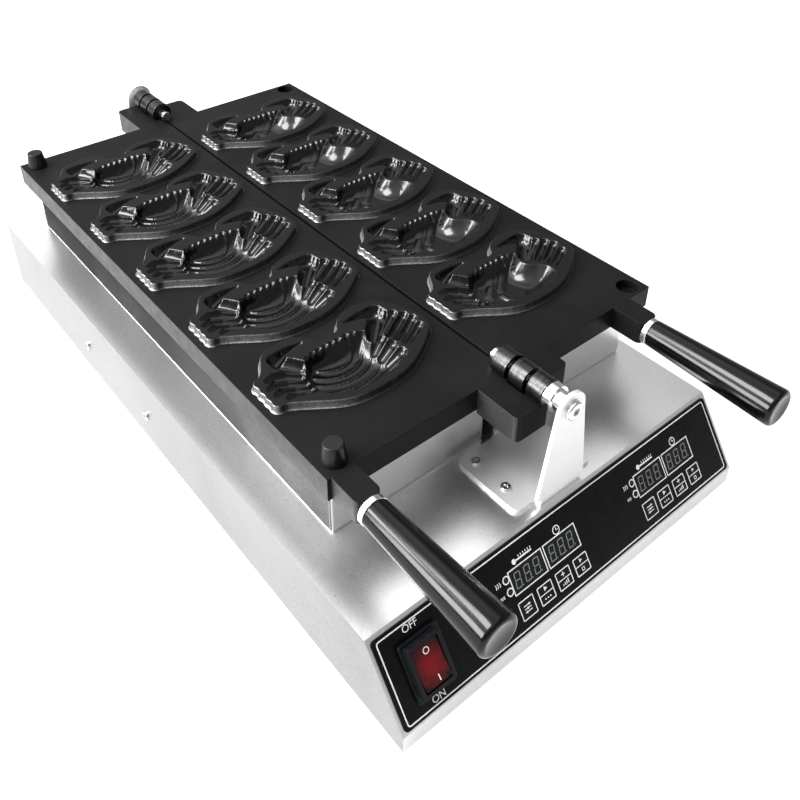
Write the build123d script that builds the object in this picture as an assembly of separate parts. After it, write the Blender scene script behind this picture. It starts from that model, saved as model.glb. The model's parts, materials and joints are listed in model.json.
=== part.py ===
from build123d import *
import math
import os

# Flip waffle baker: two cast mould plates on one hinge line, each lying on its own heater box.
# Millimetres. +X is to the operator's right, +Y runs to the rear, +Z is up.
# The origin is on the bench, under the middle of the whole machine.

# Base
base_side_margin = 7.8
deck_rear_margin = 28.5
base_height = 72.2
slope_run = 38.5
lip_height = 16.0
sheet = 1.5
foot_height = 8.0
foot_radius = 12.0
foot_floor_radius = 10.2
foot_inset_x = 30.0
foot_inset_y = 34.0
tray_wall_height = 45.0
tray_wall_inset_y = 55.0
sheet_clearance = 0.2
panel_tab_depth = 16.0
vent_slot_width = 4.0
vent_slot_length = 60.0
vent_pitch = 12.0
vent_count = 7
vent_first_x = 30.0

# Hinge line
hinge_offset = 6.0
hinge_pin_radius = 5.0
hinge_running = 0.06
knuckle_radius = 10.7
knuckle_length = 14.0
knuckle_gap = 3.2
knuckle_recess = 1.0
front_knuckle_reach = 39.1
rear_knuckle_reach = 56.5
pin_stub = 12.0
rear_bush_length = 4.7

# Heater boxes
heater_box_height = 55.6
box_front_inset = 14.7
box_rear_inset = 2.4
heater_box_gap = 6.1
left_box_inset = 11.6
right_box_inset = 5.5
heater_box_bend = 3.0
box_screw_inset = 24.0

# Mould plates
plate_setback = 61.4
plate_end_margin = 81.55
plate_outer_margin = 6.9
plate_inner_gap = 1.5
plate_thickness = 19.5
seat_gap = 0.1
lug_thickness = 22.5
left_lug_width = 31.0
right_lug_width = 38.8
lug_corner = 5.0
island_height = 6.0
closing_gap = 0.3
cavity_depth = 12.0
bowl_depth = 17.0
bowl_rim_lap = 2.0
mould_count = 5
mould_pitch = 90.0
mould_row_shift = 2.0
left_mould_gap = 11.5
right_mould_gap = 7.7
island_right_reach = 70.5
flute_rows = (12.5, 4.5, -3.5, -11.0)
flute_reach = 67.3
flute_radius = 5.0

# Guide pins on the left plate, guide holes in the right plate
guide_edge_inset = 13.8
guide_inset = 11.6
guide_base_radius = 9.3
guide_tip_radius = 7.0
guide_height = 15.0
guide_clearance = 0.6
guide_hole_depth = 8.0
guide_shank_radius = 5.0
guide_shank_length = 12.0

# Handles
left_handle_inset = 12.9
right_handle_inset = 35.2
handle_lug_width = 19.4
handle_lug_length = 27.9
collar_length = 4.6
collar_radius = 11.0
grip_length = 108.0
grip_start_radius = 10.8
grip_end_radius = 14.8
rod_radius = 5.0
rod_in_lug = 20.0
rod_in_grip = 96.0
fit_clearance = 0.05
grip_start_chamfer = 0.8
grip_edge_round = 4.0
grip_dome = 0.8
grip_dimple_radius = 2.6
grip_dimple_depth = 1.0
collar_round = 0.6

# Hinge brackets
bracket_sheet = 3.0
ear_radius = 13.4
ear_foot_half_width = 24.0
bend_half_width = 20.0
bend_relief = 5.0
foot_half_width = 40.0
front_ear_setback = 3.0
front_foot_end = 70.0
bracket_corner = 6.0
bracket_screw_reach = 29.5
bracket_screw_rows = (28.9, 60.2)
rear_flange_drop = 46.0
rear_screw_drops = (16.0, 36.0)
bush_flange_radius = 10.2
bush_flange_length = 6.5
bush_hub_radius = 8.0
bush_play = 0.3
bolt_head_radius = 7.5
bolt_head_length = 4.0
bolt_head_round = 1.8
bolt_socket_flats = 6.0
bolt_socket_depth = 2.6

# Screws
screw_radius = 2.0
screw_head_radius = 4.2
screw_head_height = 1.8
screw_length = 8.0
screw_play = 0.15
side_screw_rows = (305.5, 425.9)
side_screw_height = 29.3

# Control panel, measured down the slope from the deck's front edge
overlay_thickness = 0.8
overlay_margin_side = 2.5
overlay_top = 3.6
overlay_bottom = 66.4
overlay_corner = 3.0
switch_inset = 33.0
switch_s = 35.8
bezel_width = 32.0
bezel_length = 40.0
bezel_height = 3.0
bezel_corner = 1.5
collar_rise = 4.0
switch_collar_wall = 0.8
switch_collar_corner = 3.0
switch_body_width = 26.0
switch_body_length = 34.0
switch_body_depth = 22.0
switch_well_width = 22.0
switch_well_length = 30.0
switch_well_floor = -3.0
rocker_width = 21.0
rocker_length = 27.0
rocker_axis_height = 3.0
rocker_rest_tilt = 6.0
rocker_pin_radius = 1.5
rocker_pin_reach = 0.8
rocker_end_rise = 4.6
rocker_valley_rise = 3.2
rocker_underside = -3.0
rocker_taper = 1.0
left_cluster_gap = 80.0
right_cluster_inset = 102.3
display_width = 31.4
display_height = 16.5
display_pitch = 34.5
display_s = 30.6
display_first = 16.1
lens_ledge = 0.3
lamp_x = -3.1
lamp_rows = (25.5, 34.4)
lamp_radius = 2.2
lamp_body_radius = 1.5
key_first = 5.8
key_pitch = 18.5
key_count = 4
key_width = 14.6
key_height = 14.0
key_s = 51.6
key_play = 0.3
key_sink = 0.7
key_travel = 0.6
key_stem_radius = 2.0
key_corner = 0.8
key_end_gap = 0.1
guide_plate_depth = 2.0
guide_plate_thickness = 1.5
guide_rib_width = 2.4
guide_rib_margin = 4.0
board_depth = 8.0
board_thickness = 1.6
board_width = 96.0
board_top_s = 14.0
board_bottom_s = 61.0
switch_stub_size = 6.0
switch_stub_height = 3.2
standoff_radius = 2.5
standoff_inset = 4.0
module_play = 0.2
module_gap = 0.1

# Inside the heater boxes
insulation_thickness = 12.0
element_radius = 4.0
element_height = 36.0
element_spread = 36.0
element_bend = 16.0
element_end_inset = 26.0
element_leg_drop = 14.0
element_leg_play = 2.0
support_thickness = 2.0
support_rows = (0.3, 0.7)
probe_radius = 3.0
insulation_play = 0.5
support_play = 1.0

# Inside the base
power_board = (110.0, 150.0, 1.6)
power_board_inset = 95.0
power_board_setback = 193.0
power_board_rise = 8.0
board_post_radius = 4.0
board_post_inset = 8.0
relay = (16.0, 28.0, 20.0)
relay_count = 4
relay_pitch = 24.0
relay_row_offset = 40.0
terminal_block = (60.0, 22.0, 18.0)
terminal_setback = 70.0
terminal_count = 4
terminal_pitch = 14.0
terminal_hole_radius = 3.0
terminal_hole_depth = 8.0
gland_inset = 75.0
gland_height = 30.0
gland_bore_radius = 4.2
gland_thread_radius = 8.0
gland_flange_radius = 12.0
gland_outside = 16.0
gland_inside = 10.0
gland_nut_thickness = 6.0
gland_locknut_thickness = 4.0

# Widths and lengths that follow from the moulds
flute_end = flute_reach + flute_radius
left_mould_reach = island_right_reach + left_mould_gap
right_mould_reach = flute_end + right_mould_gap
plate_reach = left_mould_reach + flute_end + plate_outer_margin
plate_length = 2 * plate_end_margin + mould_pitch * (mould_count - 1)
base_width = 2 * (hinge_offset + plate_reach + base_side_margin)
deck_depth = plate_setback + plate_length + deck_rear_margin
heater_box_setback = plate_setback + box_front_inset
heater_box_length = plate_length - box_front_inset - box_rear_inset
left_box_width = plate_reach - left_box_inset - heater_box_gap
right_box_width = plate_reach - right_box_inset - heater_box_gap
guide_reach = plate_reach - guide_edge_inset
left_handle_reach = plate_reach - left_handle_inset
right_handle_reach = plate_reach - right_handle_inset
switch_x = switch_inset - base_width / 2
cluster_x = (switch_x + left_cluster_gap, base_width / 2 - right_cluster_inset)
power_board_x = power_board_inset - base_width / 2
gland_x = base_width / 2 - gland_inset

# Heights
base_bottom = foot_height
deck_top = base_bottom + base_height
box_top = deck_top + heater_box_height
plate_bottom = box_top + seat_gap
plate_top = plate_bottom + plate_thickness
hinge_z = plate_top + island_height + closing_gap / 2
handle_z = plate_bottom + plate_thickness / 2

# Lengths along Y
grip_front = plate_setback - handle_lug_length - collar_length - grip_length
rear_knuckle_end = plate_setback + plate_length + rear_knuckle_reach
rear_ear_front = rear_knuckle_end + bush_play + rear_bush_length
machine_rear = rear_ear_front + bracket_sheet + bolt_head_length
deck_front = -(grip_front + machine_rear) / 2
deck_rear = deck_front + deck_depth
plate_front = deck_front + plate_setback
plate_rear = plate_front + plate_length
front_knuckle_start = plate_front - front_knuckle_reach
rear_knuckle_start = plate_rear + rear_knuckle_reach - 3 * knuckle_length - 2 * knuckle_gap
front_ear_front = deck_front + front_ear_setback
rear_ear_face = deck_front + rear_ear_front
guide_rows = (plate_front + guide_inset, plate_rear - guide_inset)
mould_rows = [
    (plate_front + plate_rear) / 2 + mould_row_shift + mould_pitch * (i - (mould_count - 1) / 2)
    for i in range(mould_count)
]

# The sloped panel's own frame: X to the right, Y up the slope, Z outwards
slope_rise = base_height - lip_height
slope_length = math.hypot(slope_run, slope_rise)
slope_out = (0, -slope_rise / slope_length, slope_run / slope_length)
panel_plane = Plane(origin=(0, deck_front, deck_top), x_dir=(1, 0, 0), z_dir=slope_out)
panel_axis = Axis((0, 0, 0), slope_out)

# The outline of one mould, about its own reference point. Each list is a smooth curve, and
# the curves meet at corners. The cavity is a plump body with a fan at each end and two hooks.
cavity_curves = (
    ((-18, 31.5), (-24, 34.3), (-34, 35), (-44, 34.3), (-50, 30.5), (-51.5, 22)),
    ((-51.5, 22), (-61, 16), (-65.4, 5), (-60.5, -8), (-46, -18)),
    ((-46, -18), (-31, -28), (-13, -35.3), (1, -35.8), (20, -32.5), (37, -24), (56, -13)),
    ((56, -13), (64, -9), (67, 2), (64, 13), (57, 20)),
    ((57, 20), (54, 26), (52, 32.5), (44, 35.6), (32, 35.6), (21.5, 33.2)),
    ((21.5, 33.2), (29, 30), (35.5, 26)),
    ((35.5, 26), (30, 18.5), (16, 19.5), (0, 17.3), (-14, 17.8), (-26, 19)),
    ((-26, 19), (-32.5, 26.5)),
    ((-32.5, 26.5), (-25, 29), (-18, 31.5)),
)
island_curves = (
    ((-68, -14), (-48, -26), (-26, -39.5), (-8, -42.8), (8, -42.8), (26, -39.5), (50, -27.5), (67, -15)),
    ((67, -15), (70.5, -5), (69.5, 7), (64, 22), (55, 36), (45, 41), (28, 40.8), (15, 34.5), (9, 25.5)),
    ((9, 25.5), (2, 24.5), (-8, 25)),
    ((-8, 25), (-14, 34), (-22, 40.8), (-38, 41), (-51, 37), (-59, 25), (-68, 16.5)),
    ((-68, 16.5), (-68, -14)),
)
bowl_centre = (-1.0, -3.0)
bowl_half_length = 36.0
bowl_half_width = 26.0


def block(x0, x1, y0, y1, z0, z1):
    """A box between two corners."""
    return Pos((x0 + x1) / 2, (y0 + y1) / 2, (z0 + z1) / 2) * Box(x1 - x0, y1 - y0, z1 - z0)


def upright(x, y, z0, z1, radius):
    """A cylinder along Z."""
    return Pos(x, y, (z0 + z1) / 2) * Cylinder(radius, z1 - z0)


def along_y(x, z, y0, y1, radius):
    """A cylinder along Y."""
    return Pos(x, (y0 + y1) / 2, z) * Rot(90, 0, 0) * Cylinder(radius, y1 - y0)


def along_x(y, z, x0, x1, radius):
    """A cylinder along X."""
    return Pos((x0 + x1) / 2, y, z) * Rot(0, 90, 0) * Cylinder(radius, x1 - x0)


def on_panel(x, s, height=0.0):
    """A place on the sloped panel: s runs down the slope, height stands out of the steel."""
    return panel_plane.location * Pos(x, -s, height)


def panel_block(x, s, width, length, low, high):
    """A box on the sloped panel, between two heights."""
    return on_panel(x, s, (low + high) / 2) * Box(width, length, high - low)


def panel_post(x, s, radius, low, high):
    """A cylinder standing square to the sloped panel."""
    return on_panel(x, s, (low + high) / 2) * Cylinder(radius, high - low)


def group(shapes):
    """Several separate solids as one part."""
    return Compound([solid for shape in shapes for solid in shape.solids()])


def pan_screw(length=screw_length):
    """A pan-head screw with its seat at Z = 0, its head up and its shank down."""
    head = Pos(0, 0, screw_head_height / 2) * Cylinder(screw_head_radius, screw_head_height)
    head = fillet(head.edges().group_by(Axis.Z)[-1], screw_head_height * 0.6)
    slot_width = screw_head_radius * 0.28
    slot_depth = screw_head_height * 0.5
    for turn in (0, 90):
        slot = Box(screw_head_radius * 1.1, slot_width, slot_depth)
        head -= Pos(0, 0, screw_head_height - slot_depth / 2) * Rot(0, 0, turn) * slot
    return head + Pos(0, 0, -length / 2) * Cylinder(screw_radius, length)


def smooth_face(curves):
    """A closed face from smooth curves that meet at corners."""
    edges = [Line(*points) if len(points) == 2 else Spline(*points) for points in curves]
    return make_face(edges)


# Base

def side_profile():
    """The base seen from the side, in Y and Z."""
    points = [
        (deck_front, deck_top),
        (deck_front - slope_run, base_bottom + lip_height),
        (deck_front - slope_run, base_bottom),
        (deck_rear, base_bottom),
        (deck_rear, deck_top),
    ]
    return Plane.YZ * make_face(Polyline(*points, close=True))


def front_band():
    """The slope and the lip, seen from the side, one sheet thick."""
    profile = side_profile()
    ring = profile - offset(profile, -sheet, kind=Kind.INTERSECTION)
    front = Pos(deck_front - slope_run, deck_top) * Rectangle(2 * slope_run, 4 * base_height)
    floor = Pos(deck_front - (slope_run - sheet) / 2, base_bottom) * Rectangle(slope_run - sheet, 3 * sheet)
    return (ring & Plane.YZ * front) - Plane.YZ * floor


def through_x(face, half_width):
    """A side view made solid, the same distance to the left and to the right."""
    return Pos(-half_width, 0, 0) * extrude(face, 2 * half_width, dir=(1, 0, 0))


def front_panel():
    """Sloped sheet and lip, with a tab under the deck and the cut-outs of the controls."""
    panel = through_x(front_band(), base_width / 2)
    tab_half = base_width / 2 - sheet - sheet_clearance
    panel += block(-tab_half, tab_half, deck_front - sheet / 2, deck_front + panel_tab_depth,
                   deck_top - 2 * sheet, deck_top - sheet)
    panel -= panel_block(switch_x, switch_s, switch_body_width + 2 * key_play,
                         switch_body_length + 2 * key_play, -3 * sheet, sheet)
    for x, s in display_places():
        panel -= panel_block(x, s, display_width - 2 * lens_ledge,
                             display_height - 2 * lens_ledge, -3 * sheet, sheet)
    for x, s in lamp_places():
        panel -= panel_post(x, s, lamp_radius - lens_ledge, -3 * sheet, sheet)
    for x, s in key_places():
        panel -= panel_block(x, s, key_width + 2 * key_play, key_height + 2 * key_play, -3 * sheet, sheet)
    return panel


def base_cover():
    """Deck and both side walls, bent from one sheet."""
    half = base_width / 2
    deck = block(-half, half, deck_front, deck_rear, deck_top - sheet, deck_top)
    wall_face = side_profile() - front_band()
    walls = through_x(wall_face, half) - block(-half + sheet, half - sheet, deck_front - 2 * slope_run,
                                               deck_rear + 1, 0, deck_top - sheet)
    cover = deck + walls
    for x, y in front_bracket_screw_places():
        cover -= upright(x, y, deck_top - 2 * sheet, deck_top + 1, screw_radius + screw_play)
    for x, y in box_screw_places():
        cover -= upright(x, y, deck_top - 2 * sheet, deck_top + 1, screw_radius + screw_play)
    for x, y in element_leg_places():
        cover -= upright(x, y, deck_top - 2 * sheet, deck_top + 1, element_radius + element_leg_play)
    for x, y in probe_places():
        cover -= upright(x, y, deck_top - 2 * sheet, deck_top + 1, probe_radius + fit_clearance)
    for y in side_screw_places():
        cover -= along_x(y, base_bottom + side_screw_height, -half - 1, half + 1, screw_radius + screw_play)
    return cover


def bottom_tray():
    """Bottom sheet with a turned-up wall on each side, where the side screws hold the cover."""
    half = base_width / 2 - sheet - sheet_clearance
    front = deck_front - slope_run + sheet + sheet_clearance
    rear = deck_rear - sheet - sheet_clearance
    tray = block(-half, half, front, rear, base_bottom, base_bottom + sheet)
    for side in (-1, 1):
        x0, x1 = sorted((side * half, side * (half - sheet)))
        tray += block(x0, x1, deck_front + tray_wall_inset_y, rear - tray_wall_inset_y,
                      base_bottom, base_bottom + tray_wall_height)
    for y in side_screw_places():
        tray -= along_x(y, base_bottom + side_screw_height, -half - 1, half + 1, screw_radius + screw_play)
    for x, y in foot_places():
        tray -= upright(x, y, 0, 2 * base_bottom, screw_radius + screw_play)
    slot = Box(vent_slot_width, vent_slot_length, 4 * sheet)
    for i in range(vent_count):
        tray -= Pos(vent_first_x + vent_pitch * i, deck_front + deck_depth / 2, base_bottom) * slot
    return tray


def rear_panel():
    """Upright sheet that closes the rear, with the cord gland's hole."""
    half = base_width / 2 - sheet - sheet_clearance
    panel = block(-half, half, deck_rear - sheet, deck_rear, base_bottom, deck_top - sheet)
    panel -= along_y(gland_x, base_bottom + gland_height, deck_rear - 5, deck_rear + 5,
                     gland_thread_radius + fit_clearance)
    for x, z in rear_bracket_screw_places():
        panel -= along_y(x, z, deck_rear - 5, deck_rear + 5, screw_radius + screw_play)
    return panel


def foot_places():
    """Centres of the four feet."""
    xs = (-base_width / 2 + foot_inset_x, base_width / 2 - foot_inset_x)
    ys = (deck_front - slope_run + foot_inset_y, deck_rear - foot_inset_y)
    return [(x, y) for x in xs for y in ys]


def rubber_feet():
    """Four round feet, each with a sunk hole for its screw's head."""
    feet = []
    for x, y in foot_places():
        foot = Pos(x, y, foot_height / 2) * Cone(foot_floor_radius, foot_radius, foot_height)
        foot -= upright(x, y, -1, foot_height + 1, screw_radius + screw_play)
        foot -= upright(x, y, -1, foot_height / 2, screw_head_radius + screw_play)
        feet.append(foot)
    return group(feet)


def foot_screws():
    """Screws from below, through the feet into the tray."""
    return group([Pos(x, y, foot_height / 2) * Rot(180, 0, 0) * pan_screw() for x, y in foot_places()])


def side_screw_places():
    """Rows of the side screws along Y."""
    return [deck_front + row for row in side_screw_rows]


def side_screws():
    """Two screws through each side wall into the tray's wall."""
    screws = []
    for y in side_screw_places():
        for side in (-1, 1):
            place = Pos(side * base_width / 2, y, base_bottom + side_screw_height) * Rot(0, side * 90, 0)
            screws.append(place * pan_screw())
    return group(screws)


# Control panel

def display_places():
    """Centres of the four display windows."""
    return [(x + display_first + display_pitch * i, display_s) for x in cluster_x for i in range(2)]


def lamp_places():
    """Centres of the four indicator lamps."""
    return [(x + lamp_x, s) for x in cluster_x for s in lamp_rows]


def key_places():
    """Centres of the eight keys, left cluster first."""
    return [(x + key_first + key_pitch * i, key_s) for x in cluster_x for i in range(key_count)]


def panel_overlay():
    """Glossy black sheet over the slope, with openings for the controls."""
    middle = (overlay_top + overlay_bottom) / 2
    overlay = panel_block(0, middle, base_width - 2 * overlay_margin_side, overlay_bottom - overlay_top,
                          0, overlay_thickness)
    overlay = fillet(overlay.edges().filter_by(panel_axis), overlay_corner)
    openings = [(switch_x, switch_s, switch_body_width, switch_body_length)]
    openings += [(x, s, display_width, display_height) for x, s in display_places()]
    openings += [(x, s, key_width, key_height) for x, s in key_places()]
    for x, s, width, length in openings:
        overlay -= panel_block(x, s, width + 2 * key_play, length + 2 * key_play, -1, 2 * overlay_thickness)
    for x, s in lamp_places():
        overlay -= panel_post(x, s, lamp_radius + fit_clearance, -1, 2 * overlay_thickness)
    return overlay


def switch_housing():
    """Bezel, raised collar and body of the power switch, with a well for the rocker."""
    bezel = panel_block(switch_x, switch_s, bezel_width, bezel_length,
                        overlay_thickness, overlay_thickness + bezel_height)
    bezel = fillet(bezel.edges().filter_by(panel_axis), bezel_corner)
    top = overlay_thickness + bezel_height + collar_rise
    bezel_middle = overlay_thickness + bezel_height / 2
    collar = panel_block(switch_x, switch_s, switch_body_width + 2 * switch_collar_wall,
                         switch_body_length + 2 * switch_collar_wall, bezel_middle, top)
    collar = fillet(collar.edges().filter_by(panel_axis), switch_collar_corner)
    body = panel_block(switch_x, switch_s, switch_body_width, switch_body_length,
                       -switch_body_depth, bezel_middle)
    housing = bezel + collar + body
    housing -= panel_block(switch_x, switch_s, switch_well_width, switch_well_length,
                           switch_well_floor, top + 1)
    axle_hole = Cylinder(rocker_pin_radius + hinge_running, switch_well_width + 4 * rocker_pin_reach)
    return housing - on_panel(switch_x, switch_s, rocker_axis_height) * Rot(0, 90, 0) * axle_hole


def rocker_button():
    """Rocker with a shallow V on top, an axle pin at each side, tilted to its off position."""
    half = rocker_length / 2
    points = [
        (-half, rocker_end_rise),
        (0, rocker_valley_rise),
        (half, rocker_end_rise),
        (half - rocker_taper, rocker_underside),
        (-half + rocker_taper, rocker_underside),
    ]
    rocker = through_x(Plane.YZ * make_face(Polyline(*points, close=True)), rocker_width / 2)
    rocker += Rot(0, 90, 0) * Cylinder(rocker_pin_radius, switch_well_width + 2 * rocker_pin_reach)
    tilt = Rot(-rocker_rest_tilt, 0, 0)
    return on_panel(switch_x, switch_s, rocker_axis_height) * tilt * rocker


def display_windows():
    """Four dark lenses that lie on the steel's ledge, level with the overlay."""
    return group([panel_block(x, s, display_width, display_height, 0, overlay_thickness)
                  for x, s in display_places()])


def display_modules():
    """Number displays on the boards, behind the lenses."""
    margin = 2 * (lens_ledge + module_play)
    return group([panel_block(x, s, display_width - margin, display_height - margin,
                              -sheet - board_depth, -module_gap) for x, s in display_places()])


def indicator_lenses():
    """Four round lamp lenses."""
    return group([panel_post(x, s, lamp_radius, 0, overlay_thickness) for x, s in lamp_places()])


def indicator_lamps():
    """Lamp bodies on the boards, behind their lenses."""
    return group([panel_post(x, s, lamp_body_radius, -sheet - board_depth, -module_gap)
                  for x, s in lamp_places()])


def control_key(x, s):
    """Flat key pad with a stem that slides in the guide plate and ends just over its switch."""
    pad = panel_block(x, s, key_width, key_height, -key_sink, overlay_thickness)
    pad = fillet(pad.edges().filter_by(panel_axis), key_corner)
    stem_end = -sheet - board_depth + switch_stub_height + key_travel + key_end_gap
    return pad + panel_post(x, s, key_stem_radius, stem_end, -key_sink / 2)


def key_guide(x):
    """Plate behind one row of keys, with a bearing hole for each stem and a rib at each end."""
    left = x + key_first - key_width / 2 - guide_rib_margin
    right = left + key_width + 2 * guide_rib_margin + key_pitch * (key_count - 1)
    top = -sheet - guide_plate_depth
    plate = panel_block((left + right) / 2, key_s, right - left, key_height,
                        top - guide_plate_thickness, top)
    for end in (left + guide_rib_width / 2, right - guide_rib_width / 2):
        plate += panel_block(end, key_s, guide_rib_width, key_height, top - guide_plate_thickness, -sheet)
    for i in range(key_count):
        plate -= panel_post(x + key_first + key_pitch * i, key_s, key_stem_radius + hinge_running,
                            2 * top - guide_plate_thickness, 0)
    return plate


def control_board(x):
    """Circuit board behind one cluster, parallel to the slope."""
    middle = (board_top_s + board_bottom_s) / 2
    top = -sheet - board_depth
    return panel_block(board_centre(x), middle, board_width, board_bottom_s - board_top_s,
                       top - board_thickness, top)


def board_centre(x):
    """Centre of the board of the cluster whose first display starts at x."""
    return x + display_first + display_pitch / 2


def board_switches():
    """Key switches on the boards, one behind each stem."""
    low = -sheet - board_depth
    return group([panel_block(x, s, switch_stub_size, switch_stub_size, low, low + switch_stub_height)
                  for x, s in key_places()])


def board_standoffs():
    """Posts between the steel and each board's corners."""
    posts = []
    for x in cluster_x:
        for side in (-1, 1):
            for s in (board_top_s + standoff_inset, board_bottom_s - standoff_inset):
                px = board_centre(x) + side * (board_width / 2 - standoff_inset)
                posts.append(panel_post(px, s, standoff_radius, -sheet - board_depth, -sheet))
    return group(posts)


# Heater boxes

def box_span(side):
    """Left and right edge of a heater box."""
    near = hinge_offset + side * heater_box_gap
    far = near + side * (left_box_width if side < 0 else right_box_width)
    return min(near, far), max(near, far)


def box_ends():
    """Front and rear edge of both heater boxes."""
    front = deck_front + heater_box_setback
    return front, front + heater_box_length


def box_screw_places(sides=(-1, 1)):
    """Screws that hold the heater boxes to the deck."""
    front, rear = box_ends()
    places = []
    for side in sides:
        left, right = box_span(side)
        for x in (left + box_screw_inset, right - box_screw_inset):
            for y in (front + box_screw_inset / 2, rear - box_screw_inset / 2):
                places.append((x, y))
    return places


def element_runs(side):
    """X of the long runs of a box's two hairpin elements."""
    left, right = box_span(side)
    middle = (left + right) / 2
    return [(middle + centre - element_spread / 2, middle + centre + element_spread / 2)
            for centre in (-element_spread, element_spread)]


def element_leg_places(sides=(-1, 1)):
    """Where the elements' legs go down through the box and the deck."""
    front = box_ends()[0] + element_end_inset
    return [(x, front) for side in sides for run in element_runs(side) for x in run]


def probe_places(sides=(-1, 1)):
    """Where the thermostat probes stand, one in the middle of each box."""
    front, rear = box_ends()
    return [(sum(box_span(side)) / 2, (front + rear) / 2) for side in sides]


def heater_box(side):
    """Open tray of folded sheet that carries its mould plate on its rim."""
    left, right = box_span(side)
    front, rear = box_ends()
    box = block(left, right, front, rear, deck_top, box_top)
    box = fillet(box.edges().filter_by(Axis.Z) + box.edges().group_by(Axis.Z)[0], heater_box_bend)
    inner = block(left + sheet, right - sheet, front + sheet, rear - sheet, deck_top + sheet, box_top + 1)
    box -= fillet(inner.edges().filter_by(Axis.Z), heater_box_bend - sheet)
    for x, y in box_screw_places((side,)):
        box -= upright(x, y, deck_top - 1, deck_top + 2 * sheet, screw_radius + screw_play)
    for x, y in element_leg_places((side,)):
        box -= upright(x, y, deck_top - 1, deck_top + 2 * sheet, element_radius + element_leg_play)
    for x, y in probe_places((side,)):
        box -= upright(x, y, deck_top - 1, deck_top + 2 * sheet, probe_radius + fit_clearance)
    return box


def insulation_board(side):
    """Ceramic board on the floor of a heater box."""
    left, right = box_span(side)
    front, rear = box_ends()
    edge = sheet + insulation_play
    low = deck_top + sheet
    board = block(left + edge, right - edge, front + edge, rear - edge, low, low + insulation_thickness)
    board = fillet(board.edges().filter_by(Axis.Z), heater_box_bend)
    for x, y in box_screw_places((side,)):
        board -= upright(x, y, low - 1, low + 2 * insulation_thickness, screw_head_radius + 1)
    for x, y in element_leg_places((side,)):
        board -= upright(x, y, low - 1, low + 2 * insulation_thickness, element_radius + element_leg_play)
    for x, y in probe_places((side,)):
        board -= upright(x, y, low - 1, low + 2 * insulation_thickness, probe_radius + fit_clearance)
    return board


def heating_elements(side):
    """Two hairpin tubes with legs down into the base."""
    front, rear = box_ends()
    y0 = front + element_end_inset
    y1 = rear - element_end_inset
    z0 = deck_top - element_leg_drop
    z1 = deck_top + element_height
    tubes = []
    for x0, x1 in element_runs(side):
        route = FilletPolyline((x0, y0, z0), (x0, y0, z1), (x0, y1, z1), (x1, y1, z1),
                               (x1, y0, z1), (x1, y0, z0), radius=element_bend)
        start = Plane(origin=(x0, y0, z0), z_dir=(0, 0, 1))
        tubes.append(sweep(start * Circle(element_radius), path=route))
    return group(tubes)


def element_supports(side):
    """Upright strips that carry the long runs in round notches."""
    left, right = box_span(side)
    front, rear = box_ends()
    low = deck_top + sheet + insulation_thickness
    strips = []
    for share in support_rows:
        y = front + heater_box_length * share
        strip = block(left + sheet + support_play, right - sheet - support_play, y, y + support_thickness,
                      low, deck_top + element_height + element_radius / 2)
        for run in element_runs(side):
            for x in run:
                strip -= along_y(x, deck_top + element_height, y - 1, y + support_thickness + 1,
                                 element_radius + fit_clearance)
                strip -= block(x - element_radius, x + element_radius, y - 1, y + support_thickness + 1,
                               deck_top + element_height, deck_top + element_height + 2 * element_radius)
        strips.append(strip)
    return group(strips)


def thermostat_probes():
    """One slim probe in each box, ending level with the elements."""
    return group([upright(x, y, deck_top - element_leg_drop, deck_top + element_height, probe_radius)
                  for x, y in probe_places()])


def box_screws():
    """Screws through the floors of the heater boxes into the deck."""
    return group([Pos(x, y, deck_top + sheet) * pan_screw() for x, y in box_screw_places()])


# Mould plates

def knuckle_spans():
    """Y spans of the knuckles: three at the front, then three at the rear."""
    step = knuckle_length + knuckle_gap
    starts = [front_knuckle_start + step * i for i in range(3)]
    starts += [rear_knuckle_start + step * i for i in range(3)]
    return [(y, y + knuckle_length) for y in starts]


def own_knuckles(side):
    """The outer and inner knuckle belong to the left plate, the middle one to the right."""
    spans = knuckle_spans()
    middle = [spans[1], spans[4]]
    return middle if side > 0 else [span for span in spans if span not in middle]


def hinge_lugs(side):
    """Blocks that carry the knuckles beyond the plate's front and rear edge."""
    width = left_lug_width if side < 0 else right_lug_width
    own = own_knuckles(side)
    front = own[0][0]
    rear = own[-1][1]
    x0, x1 = sorted((hinge_offset + side * plate_inner_gap, hinge_offset + side * width))
    low = plate_top - lug_thickness
    lugs = []
    for end, root in ((front, plate_front), (rear, plate_rear)):
        lug = block(x0, x1, min(end, root), max(end, root), low, plate_top)
        corner = (hinge_offset + side * width, end, plate_top)
        outer_edge = lug.edges().filter_by(Axis.Z).sort_by_distance(corner)[0]
        lugs.append(fillet(outer_edge, lug_corner))
    return lugs


def mould_places(side):
    """Reference points of the moulds on one plate."""
    x = hinge_offset + side * (left_mould_reach if side < 0 else right_mould_reach)
    return [(x, y) for y in mould_rows]


def mould_island():
    """Raised block round one mould, with flutes on its left end."""
    island = extrude(smooth_face(island_curves), island_height + 1)
    for row in flute_rows:
        island += upright(-flute_reach, row, 0, island_height + 1, flute_radius)
    return Pos(0, 0, -1) * island


def mould_cavity():
    """The hollow of one mould: its outline at full width, and a deeper round belly."""
    pocket = Pos(0, 0, -cavity_depth) * extrude(smooth_face(cavity_curves), cavity_depth + 1)
    bowl = scale(Sphere(1), by=(bowl_half_length, bowl_half_width, bowl_depth))
    bowl = Pos(bowl_centre[0], bowl_centre[1], 0) * bowl
    reach = 2 * bowl_half_length
    bowl &= block(-reach, reach, -reach, reach, -2 * bowl_depth, bowl_rim_lap - cavity_depth)
    return pocket + bowl


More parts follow.
